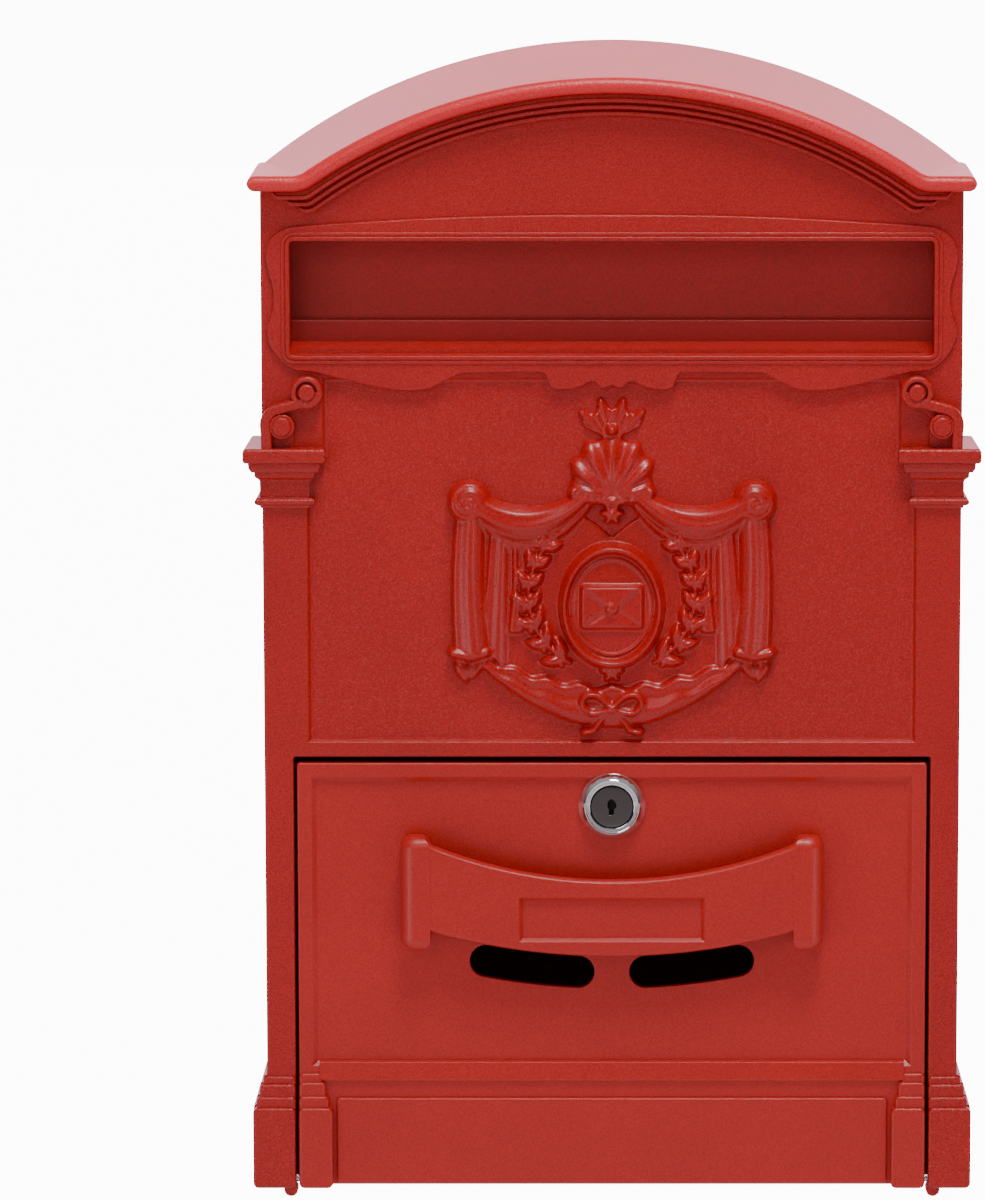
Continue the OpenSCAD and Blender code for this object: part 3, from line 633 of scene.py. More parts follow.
flange = together(
    slab((-JAMB, REAR + 0.02, OPENING_H), (JAMB, REAR + 4.5, OPENING_H + 2.2), 0.4),
    slab((-14, REAR + 0.02, OPENING_H + 1.2), (14, -68.2, OPENING_H + 9.2), 0.6),
    twin(slab((SLOT + 0.2, REAR + 0.02, OPENING_H), (SLOT + 2.4, -68.6, CASE_H - 3), 0.4)),
)
cast("front_ribs", flange)

# %% [markdown]
# ## The cartouche round the slot
#
# A thin raised plate frames the slot. Its lower edge dips and rises like a piece of
# furniture. The half outline is a smooth line through the points where the real one
# turns, mirrored, and the slot is cut through it. A double bead runs round the slot.

# %% Cartouche and slot frame
cart_right = np.vstack([
    smooth_line([(0, 288.6), (3.2, 287.6), (7, 290.0), (10.5, 288.3), (14, 287.2)], 7)[:-1],
    rounded([(14, 287.2, 0), (21.5, 286.9, 3.2), (23.5, 293.2, 2.6), (51, 293.2, 3)], 6, False)[:-1],
    smooth_line([(53, 292.9), (58.5, 290.2), (65, 287.2), (73, 286.7), (82, 287.8), (95, 290.8),
                 (105, 293), (112, 294.0), (116.8, 297.6), (120.2, 302.6), (121.4, 308),
                 (120, 313), (119, 318), (119.4, 324), (121, 330), (121.5, 335.6), (119.4, 340.6),
                 (115, 343.6), (109, 344.7), (90, 345.9), (61, 347.5), (30, 348.4), (0, 348.6)], 6),
])
cart_line = thinned(mirrored_line(cart_right))
CART = FACE - 1.5
cartouche = plate((cart_line, eased(FIELD + 0.5, CART, 0.6, 0.9)),
                  (slot_hole, [(0, FIELD + 0.5), (0, CART)]))
cast("slot_cartouche", cartouche)

bead = rounded([(-0.1, FACE + 1.0, 0), (-0.1, CART - 0.9, 0.5), (1.3, CART - 0.9, 0.5),
                (1.55, CART - 0.15, 0.1), (1.8, CART - 0.6, 0.4), (3.0, CART - 0.55, 0.5),
                (3.0, FACE + 1.0, 0)], 5)
frame_line = rectangle(-SLOT, SLOT, SILL_Z, LINTEL_Z, 1.6)
cast("slot_frame", moulding(frame_line, bead, closed=True))

# %% [markdown]
# ## The cornice
#
# Under the roof three stepped mouldings follow the arch and turn up under the ears.
# All of them, and the roof's own edge, follow one line: the arch, a hollow fillet
# and the flat of the ear. A step is the same line set in, with a rounded profile.

# %% The roof line and the three steps
NOSE_R = EAR_T / 2
EAR_OUT, EAR_OUT_BACK = 4.0, 6.5      # how far the ears overhang, in front and at the wall


def roof_line(radius, ear_end, hollow_r, lowered=0.0, stations=(90, 10, 7)):
    """From the left ear to the right one along the top of the roof: the flat of the ear,
    a hollow, the arch. The hollow touches the flat and the arch, so its centre is its own
    radius above the flat and the sum of both radii from the arch's middle. A lowered line
    runs the same distance inside the arch and under the ear."""
    radius, top = radius - lowered, EAR_TOP - lowered
    flat = top - ARCH_MID
    centre_x = math.sqrt((radius + hollow_r)**2 - (flat + hollow_r)**2)
    tilt = math.degrees(math.atan2(flat + hollow_r, centre_x))
    n_arch, n_fillet, n_end = stations
    arch = arc((0, ARCH_MID), radius, 90, tilt, n_arch)
    hollow = arc((centre_x, top + hollow_r), hollow_r, 180 + tilt, 270, n_fillet)[1:]
    turn = np.linspace(0, np.pi / 2, n_end)[1:]
    ear_x = np.hstack([np.linspace(centre_x, ear_end - NOSE_R, 4)[1:],
                       ear_end - NOSE_R * (1 - np.sin(turn))])
    ear = np.stack([ear_x, np.full(len(ear_x), top)], 1)
    right = np.vstack([arch, hollow, ear])
    return np.vstack([right[:0:-1] * [-1, 1], right])


front_line = roof_line(FRONT_R, HALF + EAR_OUT, 9.0)


def cornice_step(top, drop, out, inset):
    """One step along its own lowered line: its profile hangs from top to drop and ends
    in a small bead. Towards the ends the hang shrinks on a quarter circle, so they
    round up."""
    end = HALF - inset
    line = roof_line(FRONT_R, end, 2.0, top, (90, 8, 9))
    share = np.clip((end - np.abs(line[:, :1])) / NOSE_R, 0, 1)
    hang = np.sqrt(np.clip(1 - (1 - share)**2, 0.004, 1))
    front, bead = FACE - out, drop - 1.5 - top
    profile = rounded([(0, FACE + 1.5, 0), (0, front + 1.6, 0.2), (bead, front + 1.3, 0.3),
                       (bead, front + 0.1, 0.4), (drop - top, front, 0.7),
                       (drop - top, FACE + 1.5, 0)], 5)
    down = mitres(line, False)
    return lofted([placed(line + down * a * hang, np.full(len(line), y), "front")
                   for a, y in profile])


steps = [(4.6, 8.4, 7.2, 4.6), (7.2, 10.8, 5.0, 9.2), (9.6, 13.2, 2.9, 13.4)]
cast("cornice_steps", together(*[cornice_step(*s) for s in steps]))

# %% [markdown]
# ## The roof
#
# The roof is a second casting. Its front edge is a bull-nose that runs round the ears,
# and behind it the arch grows a little towards the wall, so it is a surface between
# two roof lines: point = front + share * (back - front), set in by the profile. At the
# ears' ends the profile shrinks on a half circle, which rounds them.

# %% The roof casting
back_line = roof_line(BACK_R, HALF + EAR_OUT_BACK, 0.6)


def roof_skin(profile):
    """Lines for each (set-in, depth) of the profile, blended between the two roof lines."""
    ends = np.minimum(HALF + EAR_OUT - np.abs(front_line[:, 0]), NOSE_R)[:, None] / NOSE_R
    width = np.sqrt(np.clip(1 - (1 - ends)**2, 0.001, 1))
    lines = []
    for a, y in profile:
        share = 1 - y / NOSE
        line = front_line + share * (back_line - front_line)
        away = -NOSE_R + (a + NOSE_R) * width
        moved = line + mitres(line, False) * -away
        lines.append(placed(moved, np.full(len(line), y), "front"))
    return lines


nose = arc((NOSE + NOSE_R, -NOSE_R), NOSE_R, 90, 270, 13)[:, ::-1]
skin = np.vstack([
    np.stack([np.zeros(12), np.linspace(0, NOSE + NOSE_R, 12, endpoint=False)], 1),
    nose,
    [(-EAR_T, FACE + 2.0), (-EAR_T, RETURN), (-EAR_T, -1.7), (-3.2, -1.7), (-3.2, 0)],
])
print("the ears end at", front_line[-1, 0], "in front and", back_line[-1, 0], "at the wall")
# The roof takes the paler paint: painted light over the whole roof casting.
made("roof_shell", lofted(roof_skin(skin)), "case", painted_light_roof_paint,
     ["roof_casting"], crease=40)

# %% [markdown]
# ## Capitals and base blocks
#
# The stiles end in small capitals above and in stepped blocks below. A capital is a
# moulding carried round the stile in plan: from its inner side over the front to its
# outer side, and back along the wall. A block is four plates, one above the other, and
# on the case a moulding carries their steps back along the side.

# %% The capitals
def round_the_stile(inner, profile):
    """A profile (out, height) carried along inner side, front and outer side in plan."""
    line = np.array([(inner, FIELD + 1.5), (inner, FACE), (HALF, FACE), (HALF, RETURN)])
    return moulding(line, profile, plane="plan")


CAPITAL = CASE_H - 90.5
capital_profile = np.vstack([
    [(-1.0, CAPITAL)],
    rounded([(4.0, CAPITAL, 0), (6.5, CAPITAL, 1.3), (6.5, CAPITAL - 5.3, 1.3),
             (4.4, CAPITAL - 5.3, 0)], 6, False),
    rounded([(4.3, CAPITAL - 5.3, 0), (4.7, CAPITAL - 5.4, 0.1), (4.5, CAPITAL - 7.2, 0.8),
             (3.6, CAPITAL - 8.6, 0.6), (2.6, CAPITAL - 8.7, 0.1), (2.4, CAPITAL - 10.4, 1.0),
             (0.8, CAPITAL - 11.6, 1.2), (0.7, CAPITAL - 17.7, 0.2), (1.7, CAPITAL - 17.75, 0.2)],
            4, False),
    arc((1.35, CAPITAL - 19.2), 1.25, 70, -80, 9),
    rounded([(0.8, CAPITAL - 20.6, 0), (0.4, CAPITAL - 21.6, 0.4),
             (-1.0, CAPITAL - 21.8, 0)], 4, False),
])
cast("capitals", twin(round_the_stile(STILE, capital_profile)))

# %% The base blocks
BASE_H = 29.6
SHARES = (1, 0.72, 0.5, 0.24)        # how far each step stands out


def base_profile(out, heights):
    """From the top: each step stands out more than the one above, with rounded edges."""
    tops = np.cumsum([BASE_H] + list(heights))
    rows = [(-1.0, 0.0, 0), (out, 0.0, 1.3)]
    for top, share, nxt in zip(tops, SHARES, SHARES[1:] + (0,)):
        rows += [(out * share, top, 0.95), (out * nxt + 0.1, top + 0.1, 0.15)]
    return rounded(rows[:-1] + [(-1.0, tops[-1] + 0.4, 0)], 5)


def block_stack(inner, outer, out, heights, back):
    """Four plates, one above the other, with rounded corners: each reaches less far to
    the side, by its share of out, and to the front. The side away from the door's gap
    is the one that steps."""
    ends = np.cumsum([0.0, BASE_H] + list(heights))
    side = math.copysign(out, outer - inner)
    stack = []
    for low, high, share in zip(ends, ends[1:], SHARES):
        x0, x1 = sorted((inner, outer + side * share))
        line = rectangle(x0 + 0.05, x1, max(low - 2, 0), high - 0.2, 1.9 if low == 0 else 1.5)
        stack.append(plate((line, eased(back, FACE - out * share, 1.1, 1.0))))
    return together(*stack)


CASE_OUT, CASE_STEPS = 4.9, (3.7, 4.4, 2.7)
side_blocks = moulding(np.array([(HALF, FACE + 0.3), (HALF, RETURN)]),
                       base_profile(CASE_OUT, CASE_STEPS), plane="plan")
outer_stack = block_stack(JAMB, HALF, CASE_OUT, CASE_STEPS, FACE + 0.6)
cast("base_blocks", twin(together(side_blocks, outer_stack)))

inner_stack = block_stack(DOOR, 104.9, 5.1, (4.0, 4.8, 3.1), FIELD + 1.4)
made("door_blocks", twin(inner_stack), "door", door_paint)

lug_r, lug_low = 2.5, -3.3
lug_line = circle((DOOR + 3.0, lug_low + lug_r), lug_r, 32)
hinge_lugs = twin(plate((lug_line, eased(REAR - 1, FACE - 3, 0.5))))
cast("hinge_lugs", hinge_lugs)

# %% [markdown]
# ## The scroll brackets
#
# Above each capital an S-shaped bracket curls round two eyes. Its strap is a rounded
# profile carried along two arcs that a straight piece joins, and its cheeks and eyes
# are round plates with eased edges.

# %% The scrolls
UP, LOW = (107.3, 286.3), (116.2, 274.2)
strap_line = np.vstack([
    arc(UP, (3.9, 3.8), 176, 290, 18),
    arc(LOW, (6.3, 5.7), 68, -8, 14),
    [(LOW[0] + 5.4, LOW[1] - 4), (LOW[0] + 5.3, CAPITAL - 0.4)],
])
strap = rounded([(-1.9, FIELD + 0.5, 0), (-1.9, -85.3, 1.2), (1.9, -85.3, 1.2),
                 (1.9, FIELD + 0.5, 0)], 6)


def round_boss(centre, radius, front, ease=0.6, steps=40):
    """A round plate with an eased edge."""
    return plate((circle(centre, radius, steps), eased(FIELD + 0.5, front, ease)))


cheek = rounded([(UP[0] - 1, UP[1] - 4.6, 0.5), (LOW[0] - 3.4, LOW[1] + 2.5, 1.0),
                 (LOW[0] - 4.2, LOW[1], 1), (LOW[0] - 4.2, CAPITAL - 0.4, 0),
                 (LOW[0] + 5.4, CAPITAL - 0.4, 0), (LOW[0] + 5.6, LOW[1] + 1.5, 2.5),
                 (UP[0] + 5.2, UP[1] - 2.2, 1.5)], 5)
volute = plate((circle(UP, 5.75), eased(FIELD + 0.5, -85.5, 1.1)),
               (circle(UP, 3.75)[::-1], [(0, FIELD + 0.5), (0, -84.9), (0.15, -85.3), (0.5, -85.5)]))
scroll = together(
    moulding(strap_line, strap),
    volute,
    round_boss(UP, 4.2, -83.4),
    round_boss(UP, 3.0, -86.3, 1.0),
    plate((cheek, eased(FIELD + 0.5, -81.2, 0.5))),
    round_boss(LOW, 4.6, -84.8, 0.9),
    round_boss(LOW, 3.4, -86.0, 0.9),
)
cast("scroll_brackets", twin(scroll))

# %% [markdown]
# ## The door
#
# The door is a casting too: a raised border, a recessed field and a heavy lower border
# with mouldings and a plinth board between two small blocks. The border is a plate with
# the recess as its hole, and the field is a second plate behind it, with two view slots
# cut through.

# %% The door leaf
BORDER, FOOT = 5.0, 43.7
door_line = rectangle(-DOOR, DOOR, 0.4, DOOR_H, 1.0)
recess = rectangle(-DOOR + BORDER, DOOR - BORDER, FOOT, DOOR_H - BORDER)[::-1]
recess_edge = [(-1.9, REAR), (-1.9, FIELD - 0.05), (-1.6, FIELD - 0.25),
               (-0.1, FACE + 0.2), (0.25, FACE)]
leaf = plate((door_line, eased(REAR, FACE, 0.7)), (recess, recess_edge))

VIEW_MID, VIEW_R, VIEW_HALF_W = 317.46, 239.96, 5.8


def view_slot(side):
    """A slot with round ends along an arc about a point above the door, clockwise."""
    a0, a1 = (math.degrees(math.asin(x / VIEW_R)) for x in (12, 45))
    outer = arc((0, VIEW_MID), VIEW_R + VIEW_HALF_W, -90 + a0, -90 + a1, 20)
    inner = arc((0, VIEW_MID), VIEW_R - VIEW_HALF_W, -90 + a1, -90 + a0, 20)
    ends = [(VIEW_R * math.sin(math.radians(a)), VIEW_MID - VIEW_R * math.cos(math.radians(a)))
            for a in (a0, a1)]
    far = arc(ends[1], VIEW_HALF_W, -90 + a1, 90 + a1, 14)[1:-1]
    near = arc(ends[0], VIEW_HALF_W, 90 + a0, 270 + a0, 14)[1:-1]
    line = np.vstack([outer, far, inner, near])
    return line[::-1] if side > 0 else line * [-1, 1]


door_field_line = rectangle(-DOOR + BORDER - 3, DOOR - BORDER + 3, FOOT - 3, DOOR_H - BORDER + 3)
slot_edge = [(0, REAR + 0.03), (0, FIELD + 0.35), (0.1, FIELD + 0.1), (0.35, FIELD)]
door_field = plate((door_field_line, [(0, REAR + 0.03), (0, FIELD)]),
                   (view_slot(1), slot_edge), (view_slot(-1), slot_edge))
made("door_leaf", together(leaf, door_field), "door", door_paint, ["door"])

# %% The lower border's mouldings and the plinth board
foot_profile = rounded([(FIELD + 0.5, 45.7, 0), (FIELD - 0.2, 45.7, 0.2), (FACE - 0.3, 45.3, 0.4),
                        (FACE - 1.3, 39.3, 0.5), (FACE - 1.0, 38.6, 0.3), (FACE + 0.3, 38.5, 0.2),
                        (FACE + 0.2, 37.4, 0.4), (FACE + 1.3, 34.4, 0.3), (FIELD + 0.5, 34.2, 0)], 5)
rail = plate((foot_profile, [(0, -104.5), (0, 104.5)]), plane="side")
board_line = rectangle(-98.6, 98.6, 1.2, 32.4, 1.3)
board = plate((board_line, eased(FACE + 0.8, FACE - 1.6, 0.8)))
made("door_foot", together(rail, board), "door", door_paint)

# %% [markdown]
# ## The handle
#
# The handle is a bowed bar between two posts. The bar's edges are two arcs, its middle
# carries a shallow frame for a name card, and fingers go behind it from below.

# %% Bar and posts
POST_X, POST_W = 69.8, 10.6
POST_LOW, POST_TOP = 87.3, 128.4
BOW_LOW, BOW_H = 85.3, 27.6
top_r, low_r = arc_radius(POST_X, 15.0), arc_radius(POST_X, 10.5)
IN_X, OUT_X = POST_X - POST_W / 2, POST_X + POST_W / 2


def arc_height(low, radius, x):
    """Height at x of an arc that is lowest at X = 0."""
    return low + radius - math.sqrt(radius**2 - x**2)


def bow_half():
    """Right half, from the middle of the bar's lower edge to the post, up inside it and
    back along the upper edge, which sweeps up into the post's round head."""
    low_edge = [(x, arc_height(BOW_LOW, low_r, x)) for x in np.linspace(0, IN_X + 2, 22)]
    top_edge = [(x, arc_height(BOW_LOW + BOW_H, top_r, x)) for x in np.linspace(IN_X - 1, 0, 24)]
    head = rounded([low_edge[-1] + (0,), (IN_X + 2, POST_TOP - 2.4, 0),
                    (IN_X + 1.4, POST_TOP - 1.5, 0.4), top_edge[0] + (0,)], 5, False)
    return thinned(np.vstack([low_edge, head, top_edge]), False)


bow_line = mirrored_line(bow_half())
label_line = rectangle(-32.8, 32.8, BOW_LOW + 5.7, BOW_LOW + 21.5)[::-1]
BAR = NOSE + 0.2                     # the bar's face, a hair behind the posts'
label_edge = [(-1.2, NOSE + 3.9), (-1.2, BAR + 1.7), (-1.0, BAR + 1.3),
              (-0.1, BAR + 0.25), (0.15, BAR)]
bar = plate((bow_line, eased(NOSE + 3.9, BAR, 1.5, 2.4, 8)), (label_line, label_edge))
card = slab((-34.2, BAR + 1.6, BOW_LOW + 3.6), (34.2, NOSE + 3.8, BOW_LOW + 22.8))
ROUND, DOME = 5.2, 4.4               # the posts' outer rounding and their domed ends
post_plan = np.vstack([
    [(IN_X, FIELD + 0.4), (IN_X, NOSE)],
    arc((OUT_X - ROUND, NOSE + ROUND), ROUND, 270, 360, 9),
    [(OUT_X, FIELD + 0.4)],
])
turn = np.linspace(0, math.pi / 2, 9)
dome = np.stack([DOME * (1 - np.sin(turn)), DOME * (1 - np.cos(turn))], 1)
post_rings = np.vstack([np.stack([dome[:, 0], POST_LOW + dome[:, 1]], 1),
                        np.stack([dome[::-1, 0], POST_TOP - dome[::-1, 1]], 1)])
post = plate((post_plan, post_rings), plane="plan")
made("handle", together(bar, card, twin(post)), "door", door_paint, ["door_handle"])

# %% [markdown]
# ## The lock
#
# The lock is turned metal: a flange with a bevel, a ring and a plug with a keyway. A
# turned piece is a circle carried up through rings, so plate() makes it as well.

# %% Housing and plug
LOCK = (0.0, 138.2)
BARREL_END, SEAT = -68.2, FIELD + 0.25
bore = circle(LOCK, 7.82, 72)[::-1]
bevelled = [(0.4, SEAT), (0, FIELD - 0.1), (0, -79.6), (0.25, -80.1), (2.0, -82.1),
            (2.5, -82.4), (2.8, -82.3), (3.0, -81.9), (3.2, -81.9), (3.4, -82.2), (3.65, -82.2)]
flange_ring = plate((circle(LOCK, 12.0, 72), bevelled),
                    (bore, [(0, SEAT), (0, -81.8), (0.08, -82.1), (0.3, -82.2)]))
barrel = plate((circle(LOCK, 9.2, 48), [(0, BARREL_END), (0, SEAT)]),
               (bore, [(0, BARREL_END), (0, SEAT)]))
made("lock_case", together(flange_ring, barrel), "door", chrome, ["lock_housing"])

key_slot = rounded([(-1.0, 135.2, 0.3), (-0.5, 135.2, 0.3), (0.55, 135.6, 0.3), (0.6, 137.2, 0.2),
                    (0.95, 137.4, 0.2), (1.5, 138.4, 0.6), (1.1, 139.8, 0.6), (-0.2, 141.0, 0.5),
                    (-1.3, 139.9, 0.6), (-1.5, 138.4, 0.4), (-0.9, 137.3, 0.2)], 4)[::-1]
plug = plate((circle(LOCK, 7.65, 64), [(0, -76), (0, -81.4), (0.3, -81.75), (0.8, -81.8)]),
             (key_slot, [(0, -76), (0, -81.6), (0.2, -81.8)]))
made("lock_face", plug, "lock_core", dark_chrome, ["lock_plug"])
# A near-black disc behind the key slot: painted shade where the keyway runs into the plug.
dark = plate((circle(LOCK, 3.4, 32), [(0, -76), (0, -78.6)]))
made("keyway", dark, "lock_core", shadow_hole)
stem = together(plate((circle(LOCK, 7.55, 48), [(0, -68.3), (0, -76.02)])),
                slab((-3, -68.3, 135.2), (3, -65.9, 141.2), 0.3))
made("lock_stem", stem, "lock_core", zinc)

# %% [markdown]
# ## The relief
#
# The upper field carries a cast relief: a draped cloth with rolled corners and hanging
# folds frames an oval with an envelope on it, between two laurel sprays, under a shell
# and over a bow. It is one height field: at each point of a grid the relief stands
# as high as the highest of its motifs, and where none stands the skin dips behind the
# field's face, so that the outline is where the two surfaces cross.

# %% Helpers for relief work
def nearest(x, z, line):
    """Distance from each point to a line of points, and how far along it the foot lies,
    from 0 to 1: the foot is the projection on the closest segment, kept to its ends."""
    a, d = line[:-1], np.diff(line, axis=0)
    px, pz = x[..., None] - a[:, 0], z[..., None] - a[:, 1]
    t = np.clip((px * d[:, 0] + pz * d[:, 1]) / (d**2).sum(1), 0, 1)
    away = np.hypot(px - t * d[:, 0], pz - t * d[:, 1])
    k = away.argmin(-1)[..., None]
    along = (k + np.take_along_axis(t, k, -1)) / len(a)
    return np.take_along_axis(away, k, -1)[..., 0], along[..., 0]


def round_top(share):
    """A round section: the root of 1 - share squared, and below nothing past 1."""
    return np.where(share < 1, np.sqrt(np.clip(1 - share**2, 0, 1)), -1)


def cord_relief(x, z, line, width, height, twist=0.0):
    """A round bar along a line, with as many slanting twists as asked for."""
    away, along = nearest(x, z, line)
    lay = 1 + 0.16 * np.sin(2 * np.pi * (twist * along + 0.5 * away / width)) * (twist > 0)
    return height * round_top(away / width) * lay


def leaf_relief(x, z, root, angle, length, width, height):
    """A leaf: an oval pointed by its width falling off along it, with a sunk midrib."""
    a = math.radians(angle)
    u = ((x - root[0]) * math.cos(a) + (z - root[1]) * math.sin(a)) / length
    v = (-(x - root[0]) * math.sin(a) + (z - root[1]) * math.cos(a))
    half = width * np.sin(np.pi * np.clip(u, 0, 1)**0.8) + 1e-6
    share = np.where((u > 0) & (u < 1), np.abs(v) / half, 2)
    rib = 0.35 * np.exp(-(v / 0.35)**2)
    full = 0.55 + 0.45 * np.sin(np.pi * np.clip(u, 0, 1))
    return np.where(share < 1, height * round_top(share) * full - rib, -1)


def ball_relief(x, z, centre, radius, height):
    """A low dome: the round section of the distance from its centre."""
    return height * round_top(np.hypot(x - centre[0], z - centre[1]) / radius)


# %% The motifs
def cloth_top(x, z):
    """Cloth slung from the shell to the rolled corner: a thick roll that sags, and under
    it a hanging edge whose folds follow the sag."""
    s = np.clip((x - 6) / 42, 0, 1)
    sag = 4 * s * (1 - s)
    middle = 252 - 5.5 * s - 9.5 * sag
    half = 3.0 + 2.4 * s + 1.6 * sag
    roll = (5.0 + 1.0 * s) * round_top(np.abs(z - middle) / half)
    roll = np.where(roll > 0, roll + 0.25 * np.cos((z - middle) * 1.4 + 3 * s), roll)
    low = middle - half - 2.6 - 3.6 * sag
    v = np.clip((middle - z) / (middle - low), -1, 2)
    hang = (2.3 + 0.9 * np.cos(2 * np.pi * 1.7 * v)) * round_top(np.clip(v, 0, 2)**6)
    inside = (x > 5) & (x < 48.5)
    hang = np.where((z < middle) & (z > low), hang, -1)
    return np.where(inside, np.maximum(roll, hang), -1)


def cloth_fall(x, z):
    """The cloth that hangs from the corner: two broad upright folds that widen down to
    a rolled hem with a turned tip."""
    drop = np.clip((246 - z) / 56, 0, 1.2)
    middle = 50.0 + 1.3 * np.sin(np.pi * drop) - 0.6 * drop
    half = 5.2 + 1.5 * drop
    u = (x - middle) / half
    folds = 4.3 + 0.8 * np.cos(2 * np.pi * (0.72 * u + 0.1)) + 0.9 * drop
    inside = (np.abs(u) < 1) & (z > 192.5) & (z < 247)
    cloth = np.where(inside, folds * round_top(np.abs(u)**2.4), -1)
    hem = cord_relief(x, z, np.array([(44.6, 193.6), (50, 192.0), (56.2, 193.4)]), 2.3, 5.6)
    tip = leaf_relief(x, z, (54.8, 192.5), -108, 11.5, 3.0, 3.4)
    second = leaf_relief(x, z, (47.2, 192.0), -72, 9.5, 2.8, 3.0)
    return np.maximum.reduce([cloth, hem, tip, second])


def inner_fall(x, z):
    """A second, lower fall of cloth behind the first."""
    drop = np.clip((240 - z) / 50, 0, 1.2)
    u = (x - (39.5 + 2.5 * drop)) / (3.2 + 1.9 * drop)
    folds = 2.6 + 0.5 * np.cos(2 * np.pi * (0.8 * u + 0.2))
    hem = 189.5 + 1.6 * np.cos(2 * np.pi * 0.8 * u)
    inside = (np.abs(u) < 1) & (z > hem) & (z < 240)
    return np.where(inside, folds * round_top(np.abs(u)**3), -1)


def cloth_low(x, z):
    """The swag below: a broad band between two arcs, with folds that run to the bow, and
    a scalloped upper edge."""
    top = 181.5 + 0.0050 * x**2 + 0.9 * np.cos(2 * np.pi * x / 11.5)
    low = 166.0 + 0.0102 * x**2
    v = (top - z) / np.maximum(top - low, 0.5)
    folds = 3.3 + 0.55 * np.cos(2 * np.pi * 1.5 * v) + 0.3 * np.sin(x / 3.4 + 4 * v)
    inside = (v > 0) & (v < 1) & (x < 46)
    return np.where(inside, folds * round_top(np.abs(2 * v - 1)**2.6), -1)


def ground(x, z):
    """A low ground that ties the motifs together inside the cloth."""
    low, high = 170 + 0.0102 * x**2, 246 - 0.02 * (x - 24)**2
    inside = (x < 47) & (z > low) & (z < high)
    return np.where(inside, 0.9, -1.0)


def corner_roll(x, z):
    """The rolled corner of the cloth: a low dome with a spiral ridge."""
    r = np.hypot(x - 50.5, z - 247.0)
    turn = np.arctan2(z - 247.0, x - 50.5)
    coil = np.cos(2 * np.pi * r / 3.1 - turn)
    return np.where(r < 7.8, 6.0 * round_top((r / 7.8)**2) + 0.45 * coil, -1)


def oval_card(x, z):
    """An oval frame with a double rim, and on it an envelope whose flap is a sunk V."""
    r = np.hypot(x / 18.5, (z - 210.0) / 22.5)
    base = np.where(r < 1, 3.2 + 1.0 * (1 - r**2), -1)
    rim = np.where(np.abs(r - 0.91) < 0.09, 6.6 * round_top(np.abs(r - 0.91) / 0.09), -1)
    thread = np.where(np.abs(r - 0.76) < 0.035, 4.9 * round_top(np.abs(r - 0.76) / 0.035), -1)
    half_x, half_z = 11.2, 7.8
    inside = np.minimum(half_x - x, half_z - np.abs(z - 210.0))
    edge = np.clip(inside / 0.8, 0, 1)
    flap_z = 210.0 + half_z - 0.86 * (half_x - x)
    flap = np.clip((z - flap_z) / 0.8, 0, 1)
    crease = np.exp(-((z - (210.0 - half_z + 0.66 * (half_x - x))) / 0.5)**2) * (z < flap_z - 0.8)
    paper = np.where(inside > 0, 4.4 + 1.5 * np.sqrt(edge) + 1.1 * flap - 0.8 * crease, -1)
    seal = ball_relief(x, z, (0, 209.8), 2.5, 1.2)
    paper = np.where(seal > 0, np.maximum(paper, 6.6 + seal), paper)
    return np.maximum.reduce([base, rim, thread, paper])


def sprays(x, z):
    """A laurel spray: a stem in an arc, with pairs of leaves along it and berries."""
    middle, radius = np.array([2.0, 214.0]), 27.5
    stem = arc(middle, radius, -62, 42, 20)
    high = cord_relief(x, z, stem, 0.9, 3.2)
    for k, angle in enumerate(np.linspace(-58, 36, 7)):
        out = np.array([math.cos(math.radians(angle)), math.sin(math.radians(angle))])
        root = middle + radius * out
        for side in (-1, 1):
            leaf = leaf_relief(x, z, root, angle + 90 - side * 36, 9.6 - 0.3 * k, 2.3, 4.4)
            high = np.maximum(high, leaf)
        high = np.maximum(high, ball_relief(x, z, root + 2.2 * out, 1.0, 3.9))
    tip = leaf_relief(x, z, tuple(stem[-1]), 128, 8.5, 1.9, 3.6)
    return np.maximum(high, tip)


def shell(x, z):
    """A scallop: ribs fan out from the hinge, the rim is waved, and the middle is fullest."""
    r = np.hypot(x, z - 249.0)
    turn = np.arctan2(x, z - 249.0)
    rim = 21.5 * np.cos(turn * 0.62) + 0.8 * np.cos(turn * 14)
    share = r / np.maximum(rim, 1)
    ribs = 0.9 * np.cos(turn * 14) * np.clip(share * 1.6, 0, 1)
    full = 0.62 + 0.38 * np.sin(np.pi * np.clip(share, 0, 1)**0.8)
    inside = (share < 1) & (np.abs(turn) < 1.75)
    body = np.where(inside, (4.9 + ribs) * round_top(share**4) * full, -1)
    roll = cord_relief(x, z, np.array([(0, 247.5), (9, 248.4), (13.5, 250.5)]), 2.2, 4.6, 5)
    bead = ball_relief(x, z, (0, 272.6), 2.3, 5.0)
    return np.maximum.reduce([body, roll, bead])


def rays(x, z):
    """A small fan of flutes above the shell."""
    r = np.hypot(x, z - 268.0)
    turn = np.arctan2(x, z - 268.0)
    tip = 14.2 - 2.2 * np.cos(turn * 12)
    flutes = 1.6 + 0.7 * np.cos(turn * 24)
    return np.where((r < tip) & (np.abs(turn) < 1.05), flutes, -1)


def bow(x, z):
    """A bow: a loop to the side, its tail, and a knot on the middle."""
    loop = smooth_line([(0, 173.5), (4.5, 177.8), (9.0, 178.2), (10.6, 175.2), (8.0, 172.0),
                        (3.5, 172.2), (0, 173.5)], 6)
    tail = smooth_line([(1.0, 172.5), (4.5, 168.6), (6.5, 165.6), (10, 164.8)], 6)
    knot = ball_relief(x, z, (0, 173.4), 2.6, 6.0)
    return np.maximum.reduce([cord_relief(x, z, loop, 1.5, 5.2),
                              cord_relief(x, z, tail, 1.5, 4.4), knot])


